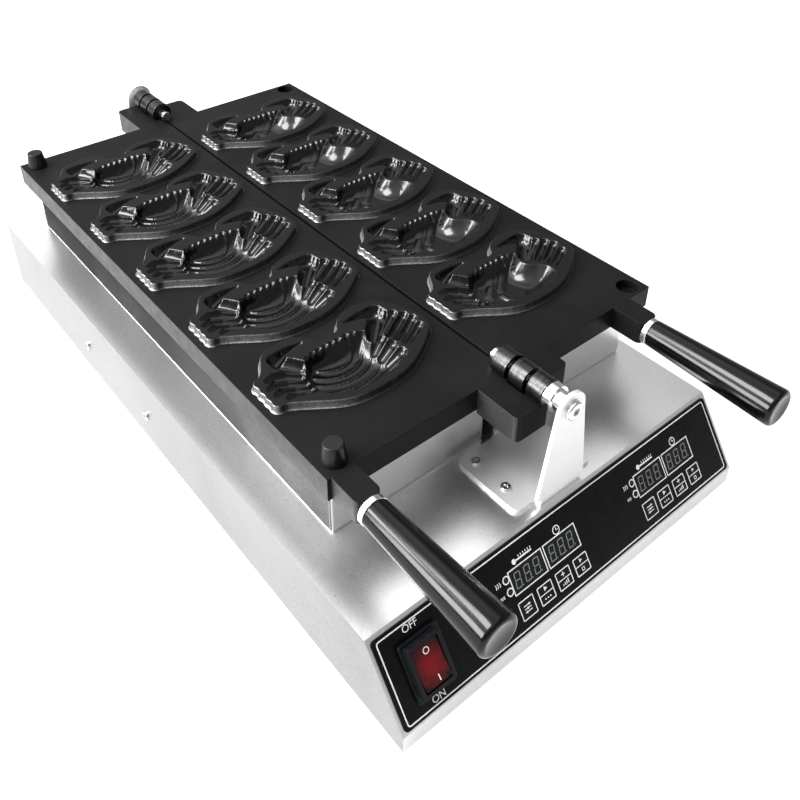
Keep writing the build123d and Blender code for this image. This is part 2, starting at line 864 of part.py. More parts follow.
def mould_plate(side):
    """Cast plate with five raised moulds, lugs, knuckles and the handle's lug."""
    x0, x1 = sorted((hinge_offset + side * plate_inner_gap, hinge_offset + side * plate_reach))
    plate = block(x0, x1, plate_front, plate_rear, plate_bottom, plate_top)
    for lug in hinge_lugs(side):
        plate += lug
    handle_x = handle_axis_x(side)
    handle_lug = block(handle_x - handle_lug_width / 2, handle_x + handle_lug_width / 2,
                       plate_front - handle_lug_length, plate_front + 1, plate_bottom, plate_top)
    front_edges = handle_lug.edges().filter_by(Axis.Z).group_by(Axis.Y)[0]
    plate += fillet(front_edges, lug_corner)
    for y0, y1 in own_knuckles(side):
        plate += along_y(hinge_offset, hinge_z, y0, y1, knuckle_radius)
    for y0, y1 in own_knuckles(-side):
        plate -= along_y(hinge_offset, hinge_z, y0 - knuckle_gap / 2, y1 + knuckle_gap / 2,
                         knuckle_radius + knuckle_recess)
    for y0, y1 in knuckle_spans():
        plate -= along_y(hinge_offset, hinge_z, y0 - knuckle_gap, y1 + knuckle_gap,
                         hinge_pin_radius + hinge_running)
    island = mould_island()
    cavity = Pos(0, 0, island_height) * mould_cavity()
    for x, y in mould_places(side):
        plate += Pos(x, y, plate_top) * island
        plate -= Pos(x, y, plate_top) * cavity
    guide_x = hinge_offset + side * guide_reach
    for y in guide_rows:
        if side < 0:
            plate -= upright(guide_x, y, plate_top - guide_shank_length, plate_top + 1,
                             guide_shank_radius + fit_clearance)
        else:
            plate -= Pos(guide_x, y, plate_top - guide_hole_depth / 2) * Cylinder(
                guide_base_radius - 1.0 + guide_clearance, guide_hole_depth)
    plate -= along_y(handle_x, handle_z, plate_front - handle_lug_length - 1,
                     plate_front - handle_lug_length + rod_in_lug, rod_radius + fit_clearance)
    return plate


def guide_pins():
    """Tapered pins that find the holes of the right plate as the pair closes."""
    pins = []
    for y in guide_rows:
        x = hinge_offset - guide_reach
        cone = Cone(guide_base_radius, guide_tip_radius, guide_height)
        pin = Pos(x, y, plate_top + guide_height / 2) * cone
        pin = fillet(pin.edges().group_by(Axis.Z)[-1], 1.0)
        pin += upright(x, y, plate_top - guide_shank_length, plate_top, guide_shank_radius)
        pins.append(pin)
    return group(pins)


# Hinge

def bracket_ear(y):
    """Upright ear of a hinge bracket, one sheet thick from y to the rear, up from the deck."""
    circle = Pos(hinge_offset, hinge_z) * Circle(ear_radius)
    foot = Pos(hinge_offset, deck_top + bend_relief + 1) * Rectangle(2 * ear_foot_half_width, 2)
    outline = make_hull((circle + foot).edges())
    ear = extrude(Plane.XZ * outline, -bracket_sheet)
    ear = Pos(0, y, 0) * ear
    ear += block(hinge_offset - bend_half_width, hinge_offset + bend_half_width, y, y + bracket_sheet,
                 deck_top, deck_top + bend_relief + 1)
    return ear


def ear_hole(y):
    """The hole of the hinge bolt in an ear."""
    return along_y(hinge_offset, hinge_z, y - 1, y + bracket_sheet + 1, hinge_pin_radius + fit_clearance)


def front_bracket_screw_places():
    """Screws of the front bracket's foot."""
    return [(hinge_offset + side * bracket_screw_reach, deck_front + row)
            for side in (-1, 1) for row in bracket_screw_rows]


def front_hinge_bracket():
    """Foot on the deck, bent up into the front ear."""
    foot_front = front_ear_front + bracket_sheet + 2
    foot = block(hinge_offset - foot_half_width, hinge_offset + foot_half_width, foot_front,
                 deck_front + front_foot_end, deck_top, deck_top + bracket_sheet)
    foot = fillet(foot.edges().filter_by(Axis.Z), bracket_corner)
    foot += block(hinge_offset - bend_half_width, hinge_offset + bend_half_width, front_ear_front,
                  foot_front + bracket_corner, deck_top, deck_top + bracket_sheet)
    bracket = foot + bracket_ear(front_ear_front)
    for x, y in front_bracket_screw_places():
        bracket -= upright(x, y, deck_top - 1, deck_top + 2 * bracket_sheet, screw_radius + screw_play)
    return bracket - ear_hole(front_ear_front)


def front_bracket_screws():
    """Four screws of the front bracket."""
    return group([Pos(x, y, deck_top + bracket_sheet) * pan_screw()
                  for x, y in front_bracket_screw_places()])


def rear_bracket_screw_places():
    """Screws of the rear bracket, as X and Z on the rear panel."""
    return [(hinge_offset + side * bracket_screw_reach, deck_top - drop)
            for side in (-1, 1) for drop in rear_screw_drops]


def rear_hinge_bracket():
    """Flange on the rear panel, a shelf behind the deck and the rear ear."""
    flange = block(hinge_offset - foot_half_width, hinge_offset + foot_half_width, deck_rear,
                   deck_rear + bracket_sheet, deck_top - rear_flange_drop, deck_top)
    shelf = block(hinge_offset - foot_half_width, hinge_offset + foot_half_width, deck_rear,
                  rear_ear_face + bracket_sheet, deck_top - bracket_sheet, deck_top)
    bracket = flange + shelf + bracket_ear(rear_ear_face)
    for x, z in rear_bracket_screw_places():
        bracket -= along_y(x, z, deck_rear - 1, deck_rear + 2 * bracket_sheet, screw_radius + screw_play)
    return bracket - ear_hole(rear_ear_face)


def rear_bracket_screws():
    """Four screws of the rear bracket."""
    return group([Pos(x, deck_rear + bracket_sheet, z) * Rot(-90, 0, 0) * pan_screw()
                  for x, z in rear_bracket_screw_places()])


def hinge_bolt(head_face, direction, end):
    """Button-head bolt: the head sits against head_face, and the shank ends at end."""
    outer = head_face - direction * bolt_head_length
    y0, y1 = sorted((head_face, outer))
    head = along_y(hinge_offset, hinge_z, y0, y1, bolt_head_radius)
    rim = head.edges().filter_by(GeomType.CIRCLE)
    rim = rim.group_by(Axis.Y)[0] if direction > 0 else rim.group_by(Axis.Y)[-1]
    head = fillet(rim, bolt_head_round)
    hexagon = RegularPolygon(bolt_socket_flats / 2, 6, major_radius=False)
    socket = extrude(hexagon, bolt_socket_depth, both=True)
    head -= Pos(hinge_offset, outer, hinge_z) * Rot(90, 0, 0) * socket
    s0, s1 = sorted((head_face, end))
    return head + along_y(hinge_offset, hinge_z, s0, s1, hinge_pin_radius)


def front_hinge_bolt():
    """Bolt through the front ear, bush and knuckles."""
    end = knuckle_spans()[2][1] + pin_stub / 2
    return hinge_bolt(front_ear_front, 1, end)


def rear_hinge_bolt():
    """Bolt through the rear ear, bush and knuckles, with its end showing between the plates."""
    end = knuckle_spans()[3][0] - pin_stub
    return hinge_bolt(rear_ear_face + bracket_sheet, -1, end)


def front_hinge_bush():
    """Stepped bush between the front ear and the first knuckle."""
    y0 = front_ear_front + bracket_sheet
    y2 = front_knuckle_start - bush_play
    y1 = y2 - bush_flange_length
    bush = along_y(hinge_offset, hinge_z, y0, y1, bush_hub_radius)
    bush += along_y(hinge_offset, hinge_z, y1, y2, bush_flange_radius)
    return bush - along_y(hinge_offset, hinge_z, y0 - 1, y2 + 1, hinge_pin_radius + fit_clearance)


def rear_hinge_bush():
    """Short bush between the last knuckle and the rear ear."""
    y0 = knuckle_spans()[-1][1] + bush_play
    bush = along_y(hinge_offset, hinge_z, y0, rear_ear_face, bush_flange_radius)
    bore_radius = hinge_pin_radius + fit_clearance
    return bush - along_y(hinge_offset, hinge_z, y0 - 1, rear_ear_face + 1, bore_radius)


# Handles

def handle_axis_x(side):
    """X of a handle: the two differ so that they lie side by side when the plates close."""
    return hinge_offset + side * (left_handle_reach if side < 0 else right_handle_reach)


def handle_root():
    """Y of the lug's front face, where the collar seats."""
    return plate_front - handle_lug_length


def handle_collar(side):
    """Bright ring between the lug and the grip."""
    y1 = handle_root()
    y0 = y1 - collar_length
    x = handle_axis_x(side)
    collar = along_y(x, handle_z, y0, y1, collar_radius)
    collar = fillet(collar.edges().filter_by(GeomType.CIRCLE), collar_round)
    return collar - along_y(x, handle_z, y0 - 1, y1 + 1, rod_radius + fit_clearance)


def handle_rod(side):
    """Steel rod from inside the lug to near the grip's end."""
    start = handle_root() + rod_in_lug - 1
    end = handle_root() - collar_length - rod_in_grip
    return along_y(handle_axis_x(side), handle_z, end, start, rod_radius)


def handle_grip(side):
    """Tapered grip, slim at the collar, with a domed end and a small dimple."""
    near = grip_start_radius
    far = grip_end_radius
    shoulder = grip_length - grip_dome
    arc_sag = grip_edge_round * (1 - math.sqrt(0.5))
    face = make_face([
        Line((0, 0), (near - grip_start_chamfer, 0)),
        Line((near - grip_start_chamfer, 0), (near, grip_start_chamfer)),
        Line((near, grip_start_chamfer), (far, shoulder - grip_edge_round)),
        ThreePointArc((far, shoulder - grip_edge_round), (far - arc_sag, shoulder - arc_sag),
                      (far - grip_edge_round, shoulder)),
        ThreePointArc((far - grip_edge_round, shoulder),
                      ((far - grip_edge_round) / 2, grip_length - grip_dome / 4), (0, grip_length)),
        Line((0, grip_length), (0, 0)),
    ])
    grip = revolve(Plane.XY * face, Axis.Y)
    grip -= along_y(0, 0, -1, rod_in_grip + fit_clearance, rod_radius + fit_clearance)
    grip -= Pos(0, grip_length + grip_dimple_radius - grip_dimple_depth, 0) * Sphere(grip_dimple_radius)
    return Pos(handle_axis_x(side), handle_root() - collar_length, handle_z) * Rot(180, 0, 0) * grip


# Inside the base

def power_board_plate():
    """Power board on the tray."""
    width, length, thickness = power_board
    low = base_bottom + sheet + power_board_rise
    y = deck_rear - power_board_setback
    return block(power_board_x - width / 2, power_board_x + width / 2, y - length / 2, y + length / 2,
                 low, low + thickness)


def power_board_posts():
    """Posts that carry the power board."""
    width, length, thickness = power_board
    y = deck_rear - power_board_setback
    low = base_bottom + sheet
    half_x = width / 2 - board_post_inset
    half_y = length / 2 - board_post_inset
    return group([upright(power_board_x + sx * half_x, y + sy * half_y, low, low + power_board_rise,
                          board_post_radius) for sx in (-1, 1) for sy in (-1, 1)])


def relays():
    """Four relays on the power board."""
    low = base_bottom + sheet + power_board_rise + power_board[2]
    y = deck_rear - power_board_setback + relay_row_offset
    width, length, height = relay
    first_x = power_board_x - relay_pitch * (relay_count - 1) / 2
    return group([block(first_x + relay_pitch * i - width / 2, first_x + relay_pitch * i + width / 2,
                        y - length / 2, y + length / 2, low, low + height) for i in range(relay_count)])


def supply_terminals():
    """Terminal block near the cord gland."""
    width, length, height = terminal_block
    low = base_bottom + sheet
    y = deck_rear - terminal_setback
    body = Pos(gland_x, y, low + height / 2) * Box(width, length, height)
    first_x = gland_x - terminal_pitch * (terminal_count - 1) / 2
    for i in range(terminal_count):
        body -= upright(first_x + terminal_pitch * i, y, low + height - terminal_hole_depth,
                        low + height + 1, terminal_hole_radius)
    return body


def cord_gland():
    """Gland with a bore for the supply cord, clamped on the rear panel."""
    z = base_bottom + gland_height
    inner_end = deck_rear - sheet - gland_inside
    outer_end = deck_rear + gland_outside
    gland = along_y(gland_x, z, inner_end, outer_end, gland_thread_radius)
    hexagon = RegularPolygon(gland_flange_radius, 6, major_radius=True)
    for y, thickness in ((deck_rear, gland_nut_thickness),
                         (deck_rear - sheet - gland_locknut_thickness, gland_locknut_thickness)):
        gland += Pos(gland_x, y, z) * Rot(-90, 0, 0) * extrude(hexagon, thickness)
    return gland - along_y(gland_x, z, inner_end - 1, outer_end + 1, gland_bore_radius)


def build_parts():
    """Every node of the machine, by name."""
    parts = {
        "base_cover": base_cover(),
        "front_panel": front_panel(),
        "rear_panel": rear_panel(),
        "bottom_tray": bottom_tray(),
        "rubber_feet": rubber_feet(),
        "foot_screws": foot_screws(),
        "side_screws": side_screws(),
        "panel_overlay": panel_overlay(),
        "switch_housing": switch_housing(),
        "rocker_button": rocker_button(),
        "display_windows": display_windows(),
        "display_modules": display_modules(),
        "indicator_lenses": indicator_lenses(),
        "indicator_lamps": indicator_lamps(),
        "board_switches": board_switches(),
        "board_standoffs": board_standoffs(),
        "thermostat_probes": thermostat_probes(),
        "heater_box_screws": box_screws(),
        "guide_pins": guide_pins(),
        "front_hinge_bracket": front_hinge_bracket(),
        "front_bracket_screws": front_bracket_screws(),
        "front_hinge_bolt": front_hinge_bolt(),
        "front_hinge_bush": front_hinge_bush(),
        "rear_hinge_bracket": rear_hinge_bracket(),
        "rear_bracket_screws": rear_bracket_screws(),
        "rear_hinge_bolt": rear_hinge_bolt(),
        "rear_hinge_bush": rear_hinge_bush(),
        "power_board": power_board_plate(),
        "power_board_posts": power_board_posts(),
        "relays": relays(),
        "supply_terminals": supply_terminals(),
        "cord_gland": cord_gland(),
    }
    for word, side in (("left", -1), ("right", 1)):
        parts[f"{word}_mould_plate"] = mould_plate(side)
        parts[f"{word}_heater_box"] = heater_box(side)
        parts[f"{word}_insulation_board"] = insulation_board(side)
        parts[f"{word}_heating_elements"] = heating_elements(side)
        parts[f"{word}_element_supports"] = element_supports(side)
        parts[f"{word}_handle_collar"] = handle_collar(side)
        parts[f"{word}_handle_rod"] = handle_rod(side)
        parts[f"{word}_handle_grip"] = handle_grip(side)
    for word, x in zip(("left", "right"), cluster_x):
        parts[f"{word}_control_board"] = control_board(x)
        parts[f"{word}_key_guide"] = key_guide(x)
    for number, (x, s) in enumerate(key_places()):
        word = "left" if number < key_count else "right"
        parts[f"{word}_key_{number % key_count + 1}"] = control_key(x, s)
    return parts


def main():
    """Write each node to its own STEP file."""
    os.makedirs("parts", exist_ok=True)
    for name, shape in build_parts().items():
        export_step(shape, f"parts/{name}.step")


main()
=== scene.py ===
"""The looks of the flip waffle baker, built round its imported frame. Metres, in the frame's own axes."""

import json
import logging
import math
from dataclasses import dataclass, field
from enum import Enum

import bmesh
import bpy
import numpy as np
from mathutils import Euler, Matrix, Vector
from mathutils.bvhtree import BVHTree

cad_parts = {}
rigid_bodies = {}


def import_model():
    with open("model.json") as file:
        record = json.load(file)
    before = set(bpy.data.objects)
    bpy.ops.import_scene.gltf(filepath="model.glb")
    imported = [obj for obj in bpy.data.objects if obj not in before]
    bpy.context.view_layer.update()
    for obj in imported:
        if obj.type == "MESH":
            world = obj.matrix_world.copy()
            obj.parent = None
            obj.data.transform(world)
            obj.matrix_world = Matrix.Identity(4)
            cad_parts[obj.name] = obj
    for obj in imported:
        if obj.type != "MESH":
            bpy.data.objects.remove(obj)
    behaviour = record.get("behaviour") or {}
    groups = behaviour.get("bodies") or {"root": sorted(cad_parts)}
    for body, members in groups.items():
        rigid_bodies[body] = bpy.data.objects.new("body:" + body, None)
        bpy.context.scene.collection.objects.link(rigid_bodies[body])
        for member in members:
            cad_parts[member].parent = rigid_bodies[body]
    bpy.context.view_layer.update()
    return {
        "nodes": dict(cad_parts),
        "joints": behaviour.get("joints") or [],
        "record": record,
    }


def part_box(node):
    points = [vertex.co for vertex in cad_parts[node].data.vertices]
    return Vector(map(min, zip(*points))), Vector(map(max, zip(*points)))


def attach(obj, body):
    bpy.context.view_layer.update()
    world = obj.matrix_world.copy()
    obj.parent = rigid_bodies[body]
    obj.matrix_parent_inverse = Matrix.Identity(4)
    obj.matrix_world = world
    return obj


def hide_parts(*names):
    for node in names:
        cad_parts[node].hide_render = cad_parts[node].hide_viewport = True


log = logging.getLogger("waffle_baker")

MM = 0.001
WELD = 0.000002
NOISE_LOW, NOISE_HIGH = 0.3, 0.7
LEFTWARDS, RIGHTWARDS = Vector((-1.0, 0.0, 0.0)), Vector((1.0, 0.0, 0.0))
REARWARDS = Vector((0.0, 1.0, 0.0))

Colour = tuple[float, float, float]
Triple = tuple[float, float, float]
Mesh = bmesh.types.BMesh
Material = bpy.types.Material
Node = bpy.types.Node
Socket = bpy.types.NodeSocket
Tree = bpy.types.NodeTree

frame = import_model()


# Shared effects


def colour4(rgb: Colour) -> tuple[float, float, float, float]:
    """A colour with full alpha."""
    return (*rgb, 1.0)


def grey(tone: float) -> Colour:
    """A neutral colour."""
    return (tone,) * 3


def add_node(tree: Tree, kind: str, **settings: object) -> Node:
    """Add a node to a tree.

    Args:
        tree: the tree of a material, a group or the world.
        kind: the node's type.
        settings: the properties to set on it.

    Returns:
        The node.
    """
    made = tree.nodes.new(kind)
    for key, value in settings.items():
        setattr(made, key, value)
    return made


def preset(node: Node, **values: object) -> None:
    """Set a node's own sockets.

    Args:
        node: the node.
        values: the value of each input, its title written with underscores for blanks.
    """
    for key, value in values.items():
        node.inputs[key.replace("_", " ")].default_value = value


class Group(Enum):
    """The shared effects, each with its group's name and its noise's detail and distortion."""

    GRAIN = ("stretched_grain", 5.0, 0.0)
    CLOUD = ("soft_cloud", 2.0, 0.6)
    SPECKLE = ("cast_speckle", 8.0, 0.2)


def noise_group(name: str, detail: float, distortion: float) -> Tree:
    """A noise whose coordinates are stretched, as a value between Low and High.

    Args:
        name: the group's name.
        detail: how many finer layers the noise has.
        distortion: how far the noise is bent.

    Returns:
        The node group.
    """
    tree = bpy.data.node_groups.new(name, "ShaderNodeTree")
    for title, kind, default in (
        ("Vector", "NodeSocketVector", (0.0, 0.0, 0.0)),
        ("Stretch", "NodeSocketVector", (1.0, 1.0, 1.0)),
        ("Scale", "NodeSocketFloat", 100.0),
        ("Low", "NodeSocketFloat", 0.0),
        ("High", "NodeSocketFloat", 1.0),
    ):
        tree.interface.new_socket(title, in_out="INPUT", socket_type=kind).default_value = default
    tree.interface.new_socket("Value", in_out="OUTPUT", socket_type="NodeSocketFloat")
    first, last = add_node(tree, "NodeGroupInput"), add_node(tree, "NodeGroupOutput")
    stretch = add_node(tree, "ShaderNodeVectorMath", operation="MULTIPLY")
    noise = add_node(tree, "ShaderNodeTexNoise")
    preset(noise, Detail=detail, Distortion=distortion)
    spread = add_node(tree, "ShaderNodeMapRange")
    preset(spread, From_Min=NOISE_LOW, From_Max=NOISE_HIGH)
    for source, target in (
        (first.outputs["Vector"], stretch.inputs[0]),
        (first.outputs["Stretch"], stretch.inputs[1]),
        (stretch.outputs[0], noise.inputs["Vector"]),
        (first.outputs["Scale"], noise.inputs["Scale"]),
        (noise.outputs[0], spread.inputs["Value"]),
        (first.outputs["Low"], spread.inputs["To Min"]),
        (first.outputs["High"], spread.inputs["To Max"]),
        (spread.outputs[0], last.inputs["Value"]),
    ):
        tree.links.new(source, target)
    return tree


def shared(kind: Group) -> Tree:
    """The node group of a shared effect, made at its first use."""
    return bpy.data.node_groups.get(kind.value[0]) or noise_group(*kind.value)


class Paint:
    """One material: a Principled shader, and the nodes that feed it."""

    def __init__(self, name: str) -> None:
        """Start a material with object coordinates at hand.

        Args:
            name: the material's name.
        """
        self.material = bpy.data.materials.new(name)
        self.material.use_nodes = True
        self.tree = self.material.node_tree
        self.shader = self.tree.nodes["Principled BSDF"]
        self.place = self.node("ShaderNodeTexCoord").outputs["Object"]

    def node(self, kind: str, **settings: object) -> Node:
        """Add a node and set its properties."""
        return add_node(self.tree, kind, **settings)

    def link(self, source: Socket, target: Socket) -> None:
        """Join an output to an input."""
        self.tree.links.new(source, target)

    def put(self, **values: object) -> None:
        """Set the shader's own sockets, where a tuple is a colour."""
        given = {key: colour4(value) if isinstance(value, tuple) else value for key, value in values.items()}
        preset(self.shader, **given)

    def effect(self, kind: Group, scale: float, low: float = 0.0, high: float = 1.0,
               stretch: Triple = (1.0, 1.0, 1.0)) -> Socket:
        """Place a shared effect.

        Args:
            kind: which effect.
            scale: grains in a metre.
            low: value of the darkest grain.
            high: value of the brightest grain.
            stretch: factor on each axis; a small one draws the grain out.

        Returns:
            The value output.
        """
        made = self.node("ShaderNodeGroup", node_tree=shared(kind))
        preset(made, Stretch=stretch, Scale=scale, Low=low, High=high)
        self.link(self.place, made.inputs["Vector"])
        return made.outputs["Value"]

    def total(self, first: Socket, second: Socket, how: str = "ADD") -> Socket:
        """Join two values by arithmetic.

        Args:
            first: one value.
            second: the other value.
            how: the operation.

        Returns:
            The result.
        """
        made = self.node("ShaderNodeMath", operation=how)
        self.link(first, made.inputs[0])
        self.link(second, made.inputs[1])
        return made.outputs[0]

    def blend(self, share: Socket, dark: Colour, light: Colour | Socket) -> Socket:
        """A colour between two.

        Args:
            share: how much of the second colour there is.
            dark: the first colour.
            light: the second colour, or an output that gives it.

        Returns:
            The colour output.
        """
        made = self.node("ShaderNodeMix", data_type="RGBA")
        self.link(share, made.inputs["Factor"])
        made.inputs["A"].default_value = colour4(dark)
        if isinstance(light, tuple):
            made.inputs["B"].default_value = colour4(light)
        else:
            self.link(light, made.inputs["B"])
        return made.outputs["Result"]

    def bump(self, height: Socket, strength: float, depth: float) -> None:
        """Feed a height to the shader's normal.

        Args:
            height: a value from 0 to 1.
            strength: how much of the effect shows.
            depth: the height of a 1, in metres.
        """
        made = self.node("ShaderNodeBump")
        preset(made, Strength=strength, Distance=depth)
        self.link(height, made.inputs["Height"])
        self.link(made.outputs["Normal"], self.shader.inputs["Normal"])

    def base(self, colour: Socket) -> None:
        """Feed a colour to the shader."""
        self.link(colour, self.shader.inputs["Base Color"])

    def rough(self, value: Socket) -> None:
        """Feed a value to the shader's roughness."""
        self.link(value, self.shader.inputs["Roughness"])


# Finishes


@dataclass(frozen=True)
class BrushedSteel:
    """Sheet steel with fine short strokes along one axis and a faint cloudy tone."""

    name: str
    dark: Colour = (0.80, 0.80, 0.805)
    light: Colour = (0.92, 0.92, 0.925)
    low_rough: float = 0.27
    high_rough: float = 0.34
    rough_scale: float = 920.0
    strokes: Triple = (1.0, 0.22, 1.0)
    grain_scale: float = 2300.0
    cloud_scale: float = 9.0
    cloud_reach: float = 0.25
    bump: float = 0.3
    depth: float = 0.004 * MM
    metallic: float = 1.0
    edge: float = 1.0

    def build(self) -> Material:
        """Make the steel's material.

        Returns:
            The material.
        """
        paint = Paint(self.name)
        grain = paint.effect(Group.GRAIN, self.grain_scale, stretch=self.strokes)
        cloud = paint.effect(Group.CLOUD, self.cloud_scale, -self.cloud_reach, self.cloud_reach)
        paint.base(paint.blend(paint.total(grain, cloud), self.dark, self.light))
        paint.rough(paint.effect(Group.SPECKLE, self.rough_scale, self.low_rough, self.high_rough))
        paint.put(Metallic=self.metallic, Specular_Tint=grey(self.edge))
        paint.bump(grain, self.bump, self.depth)
        return paint.material


@dataclass(frozen=True)
class PolishedMetal:
    """Bright metal with the faintest handling marks."""

    name: str
    colour: Colour = (0.80, 0.80, 0.81)
    low_rough: float = 0.10
    high_rough: float = 0.20
    mark_scale: float = 260.0
    tone_scale: float = 78.0
    darkest: float = 0.86

    def build(self) -> Material:
        """Make the metal's material.

        Returns:
            The material.
        """
        paint = Paint(self.name)
        paint.rough(paint.effect(Group.SPECKLE, self.mark_scale, self.low_rough, self.high_rough))
        darker = tuple(self.darkest * part for part in self.colour)
        paint.base(paint.blend(paint.effect(Group.CLOUD, self.tone_scale), darker, self.colour))
        paint.put(Metallic=1.0)
        return paint.material


@dataclass(frozen=True)
class TurnedSteel:
    """Lathe-turned steel: fine rings round the hinge line."""

    name: str
    dark: Colour = (0.02, 0.02, 0.021)
    light: Colour = (0.065, 0.065, 0.067)
    rings: Triple = (0.05, 1.0, 0.05)
    ring_scale: float = 1400.0
    low_rough: float = 0.22
    high_rough: float = 0.36
    cloud_scale: float = 120.0
    bump: float = 0.3
    depth: float = 0.02 * MM

    def build(self) -> Material:
        """Make the turned steel's material.

        Returns:
            The material.
        """
        paint = Paint(self.name)
        ring = paint.effect(Group.GRAIN, self.ring_scale, stretch=self.rings)
        paint.base(paint.blend(ring, self.dark, self.light))
        paint.rough(paint.effect(Group.CLOUD, self.cloud_scale, self.low_rough, self.high_rough))
        paint.put(Metallic=1.0)
        paint.bump(ring, self.bump, self.depth)
        return paint.material


@dataclass(frozen=True)
class CastCoating:
    """Black non-stick coating over a cast and milled plate."""

    name: str
    dark: Colour = (0.003, 0.003, 0.0035)
    light: Colour = (0.007, 0.007, 0.0075)
    low_rough: float = 0.40
    high_rough: float = 0.50
    rough_scale: float = 440.0
    grain_scale: float = 1100.0
    cloud_scale: float = 16.0
    cloud_reach: float = 0.3
    specular: float = 0.08
    bump: float = 0.25
    depth: float = 0.04 * MM

    def build(self) -> Material:
        """Make the coating's material.

        Returns:
            The material.
        """
        paint = Paint(self.name)
        grain = paint.effect(Group.SPECKLE, self.grain_scale)
        cloud = paint.effect(Group.CLOUD, self.cloud_scale, -self.cloud_reach, self.cloud_reach)
        paint.base(paint.blend(paint.total(grain, cloud), self.dark, self.light))
        paint.rough(paint.effect(Group.SPECKLE, self.rough_scale, self.low_rough, self.high_rough))
        paint.put(Specular_IOR_Level=self.specular)
        paint.bump(grain, self.bump, self.depth)
        return paint.material


@dataclass(frozen=True)
class MouldCoating:
    """The same coating on a mould's rim; its outer wall goes grey and metallic, mostly a painted highlight on
    the walls that face left, mottled at random.
    """

    name: str
    rim: Colour = (0.004, 0.004, 0.0045)
    # The outer wall's grey, where the painted highlight falls.
    wall_dark: Colour = grey(0.06)
    wall_light: Colour = grey(0.44)
    least_wear_and_sheen: float = 0.6
    most_wear_and_sheen: float = 1.25
    wear_and_sheen_scale: float = 225.0
    low_rough: float = 0.36
    high_rough: float = 0.46
    rough_scale: float = 450.0
    grain_scale: float = 1500.0
    specular: float = 0.13
    bump: float = 0.2
    depth: float = 0.03 * MM

    def build(self) -> Material:
        """Make the mould's material, which reads the mesh's wall attribute.

        Returns:
            The material.
        """
        paint = Paint(self.name)
        wall = paint.node("ShaderNodeAttribute", attribute_name="wall").outputs["Fac"]
        grain = paint.effect(Group.SPECKLE, self.grain_scale)
        wear_and_sheen = paint.effect(Group.CLOUD, self.wear_and_sheen_scale, self.least_wear_and_sheen, self.most_wear_and_sheen)
        # The wall layer times a random mottle: a painted highlight on the left-facing walls, with a faint
        # even share elsewhere.
        bare = paint.total(wall, wear_and_sheen, "MULTIPLY")
        paint.base(paint.blend(bare, self.rim, paint.blend(grain, self.wall_dark, self.wall_light)))
        paint.rough(paint.effect(Group.SPECKLE, self.rough_scale, self.low_rough, self.high_rough))
        paint.link(bare, paint.shader.inputs["Metallic"])
        paint.put(Specular_IOR_Level=self.specular)
        paint.bump(grain, self.bump, self.depth)
        return paint.material


@dataclass(frozen=True)
class BareCasting:
    """The plate's outer side, ground bare: grey, even and faintly grainy."""

    name: str
    dark: Colour = grey(0.015)
    light: Colour = grey(0.05)
    grain_scale: float = 1500.0
    low_rough: float = 0.36
    high_rough: float = 0.5
    cloud_scale: float = 90.0
    metallic: float = 0.4
    specular: float = 0.2
    bump: float = 0.3
    depth: float = 0.04 * MM

    def build(self) -> Material:
        """Make the casting's material.

        Returns:
            The material.
        """
        paint = Paint(self.name)
        grain = paint.effect(Group.SPECKLE, self.grain_scale)
        paint.base(paint.blend(grain, self.dark, self.light))
        paint.rough(paint.effect(Group.CLOUD, self.cloud_scale, self.low_rough, self.high_rough))
        paint.put(Metallic=self.metallic, Specular_IOR_Level=self.specular)
        paint.bump(grain, self.bump, self.depth)
        return paint.material


@dataclass(frozen=True)
class Plastic:
    """Moulded plastic, enamel, rubber or print, from gloss to matt."""

    name: str
    dark: Colour
    light: Colour
    low_rough: float
    high_rough: float
    coat: float = 0.0
    coat_rough: float = 0.05
    grain_scale: float = 700.0
    cloud_share: float = 0.12
    bump: float = 0.1
    depth: float = 0.02 * MM
    specular: float = 0.5

    def build(self) -> Material:
        """Make the plastic's material.

        Returns:
            The material.
        """
        paint = Paint(self.name)
        grain = paint.effect(Group.SPECKLE, self.grain_scale)
        paint.base(paint.blend(grain, self.dark, self.light))
        cloud_scale = self.grain_scale * self.cloud_share
        paint.rough(paint.effect(Group.CLOUD, cloud_scale, self.low_rough, self.high_rough))
        paint.put(Coat_Weight=self.coat, Coat_Roughness=self.coat_rough, Specular_IOR_Level=self.specular)
        paint.bump(grain, self.bump, self.depth)
        return paint.material


@dataclass(frozen=True)
class ClearRed:
    """Red see-through plastic of the rocker, darker towards its border: painted shade where the rounded
    rocker turns away from the light.
    """

    name: str
    centre: Triple
    radius: float
    colour: Colour = (0.14, 0.0006, 0.004)
    border: Colour = (0.008, 0.0003, 0.0006)
    full_at: float = 0.75
    cloud_scale: float = 160.0
    cloud_reach: float = 0.12
    low_rough: float = 0.10
    high_rough: float = 0.20
    mark_scale: float = 500.0
    coat: float = 0.12
    coat_rough: float = 0.06
    specular: float = 0.3

    def build(self) -> Material:
        """Make the rocker's material.

        Returns:
            The material.
        """
        paint = Paint(self.name)
        place = paint.node("ShaderNodeMapping")
        scale = 1.0 / self.radius
        preset(place, Location=tuple(-scale * part for part in self.centre), Scale=(scale,) * 3)
        paint.link(paint.place, place.inputs["Vector"])
        ball = paint.node("ShaderNodeTexGradient", gradient_type="SPHERICAL")
        paint.link(place.outputs[0], ball.inputs["Vector"])
        cloud = paint.effect(Group.CLOUD, self.cloud_scale, -self.cloud_reach, self.cloud_reach)
        share = paint.node("ShaderNodeMapRange")
        preset(share, From_Max=self.full_at)
        paint.link(paint.total(ball.outputs["Fac"], cloud), share.inputs["Value"])
        # Painted shade: the colour darkens from the middle out to the border.
        paint.base(paint.blend(share.outputs[0], self.border, self.colour))
        paint.rough(paint.effect(Group.SPECKLE, self.mark_scale, self.low_rough, self.high_rough))
        paint.put(Coat_Weight=self.coat, Coat_Roughness=self.coat_rough, Specular_IOR_Level=self.specular)
        return paint.material


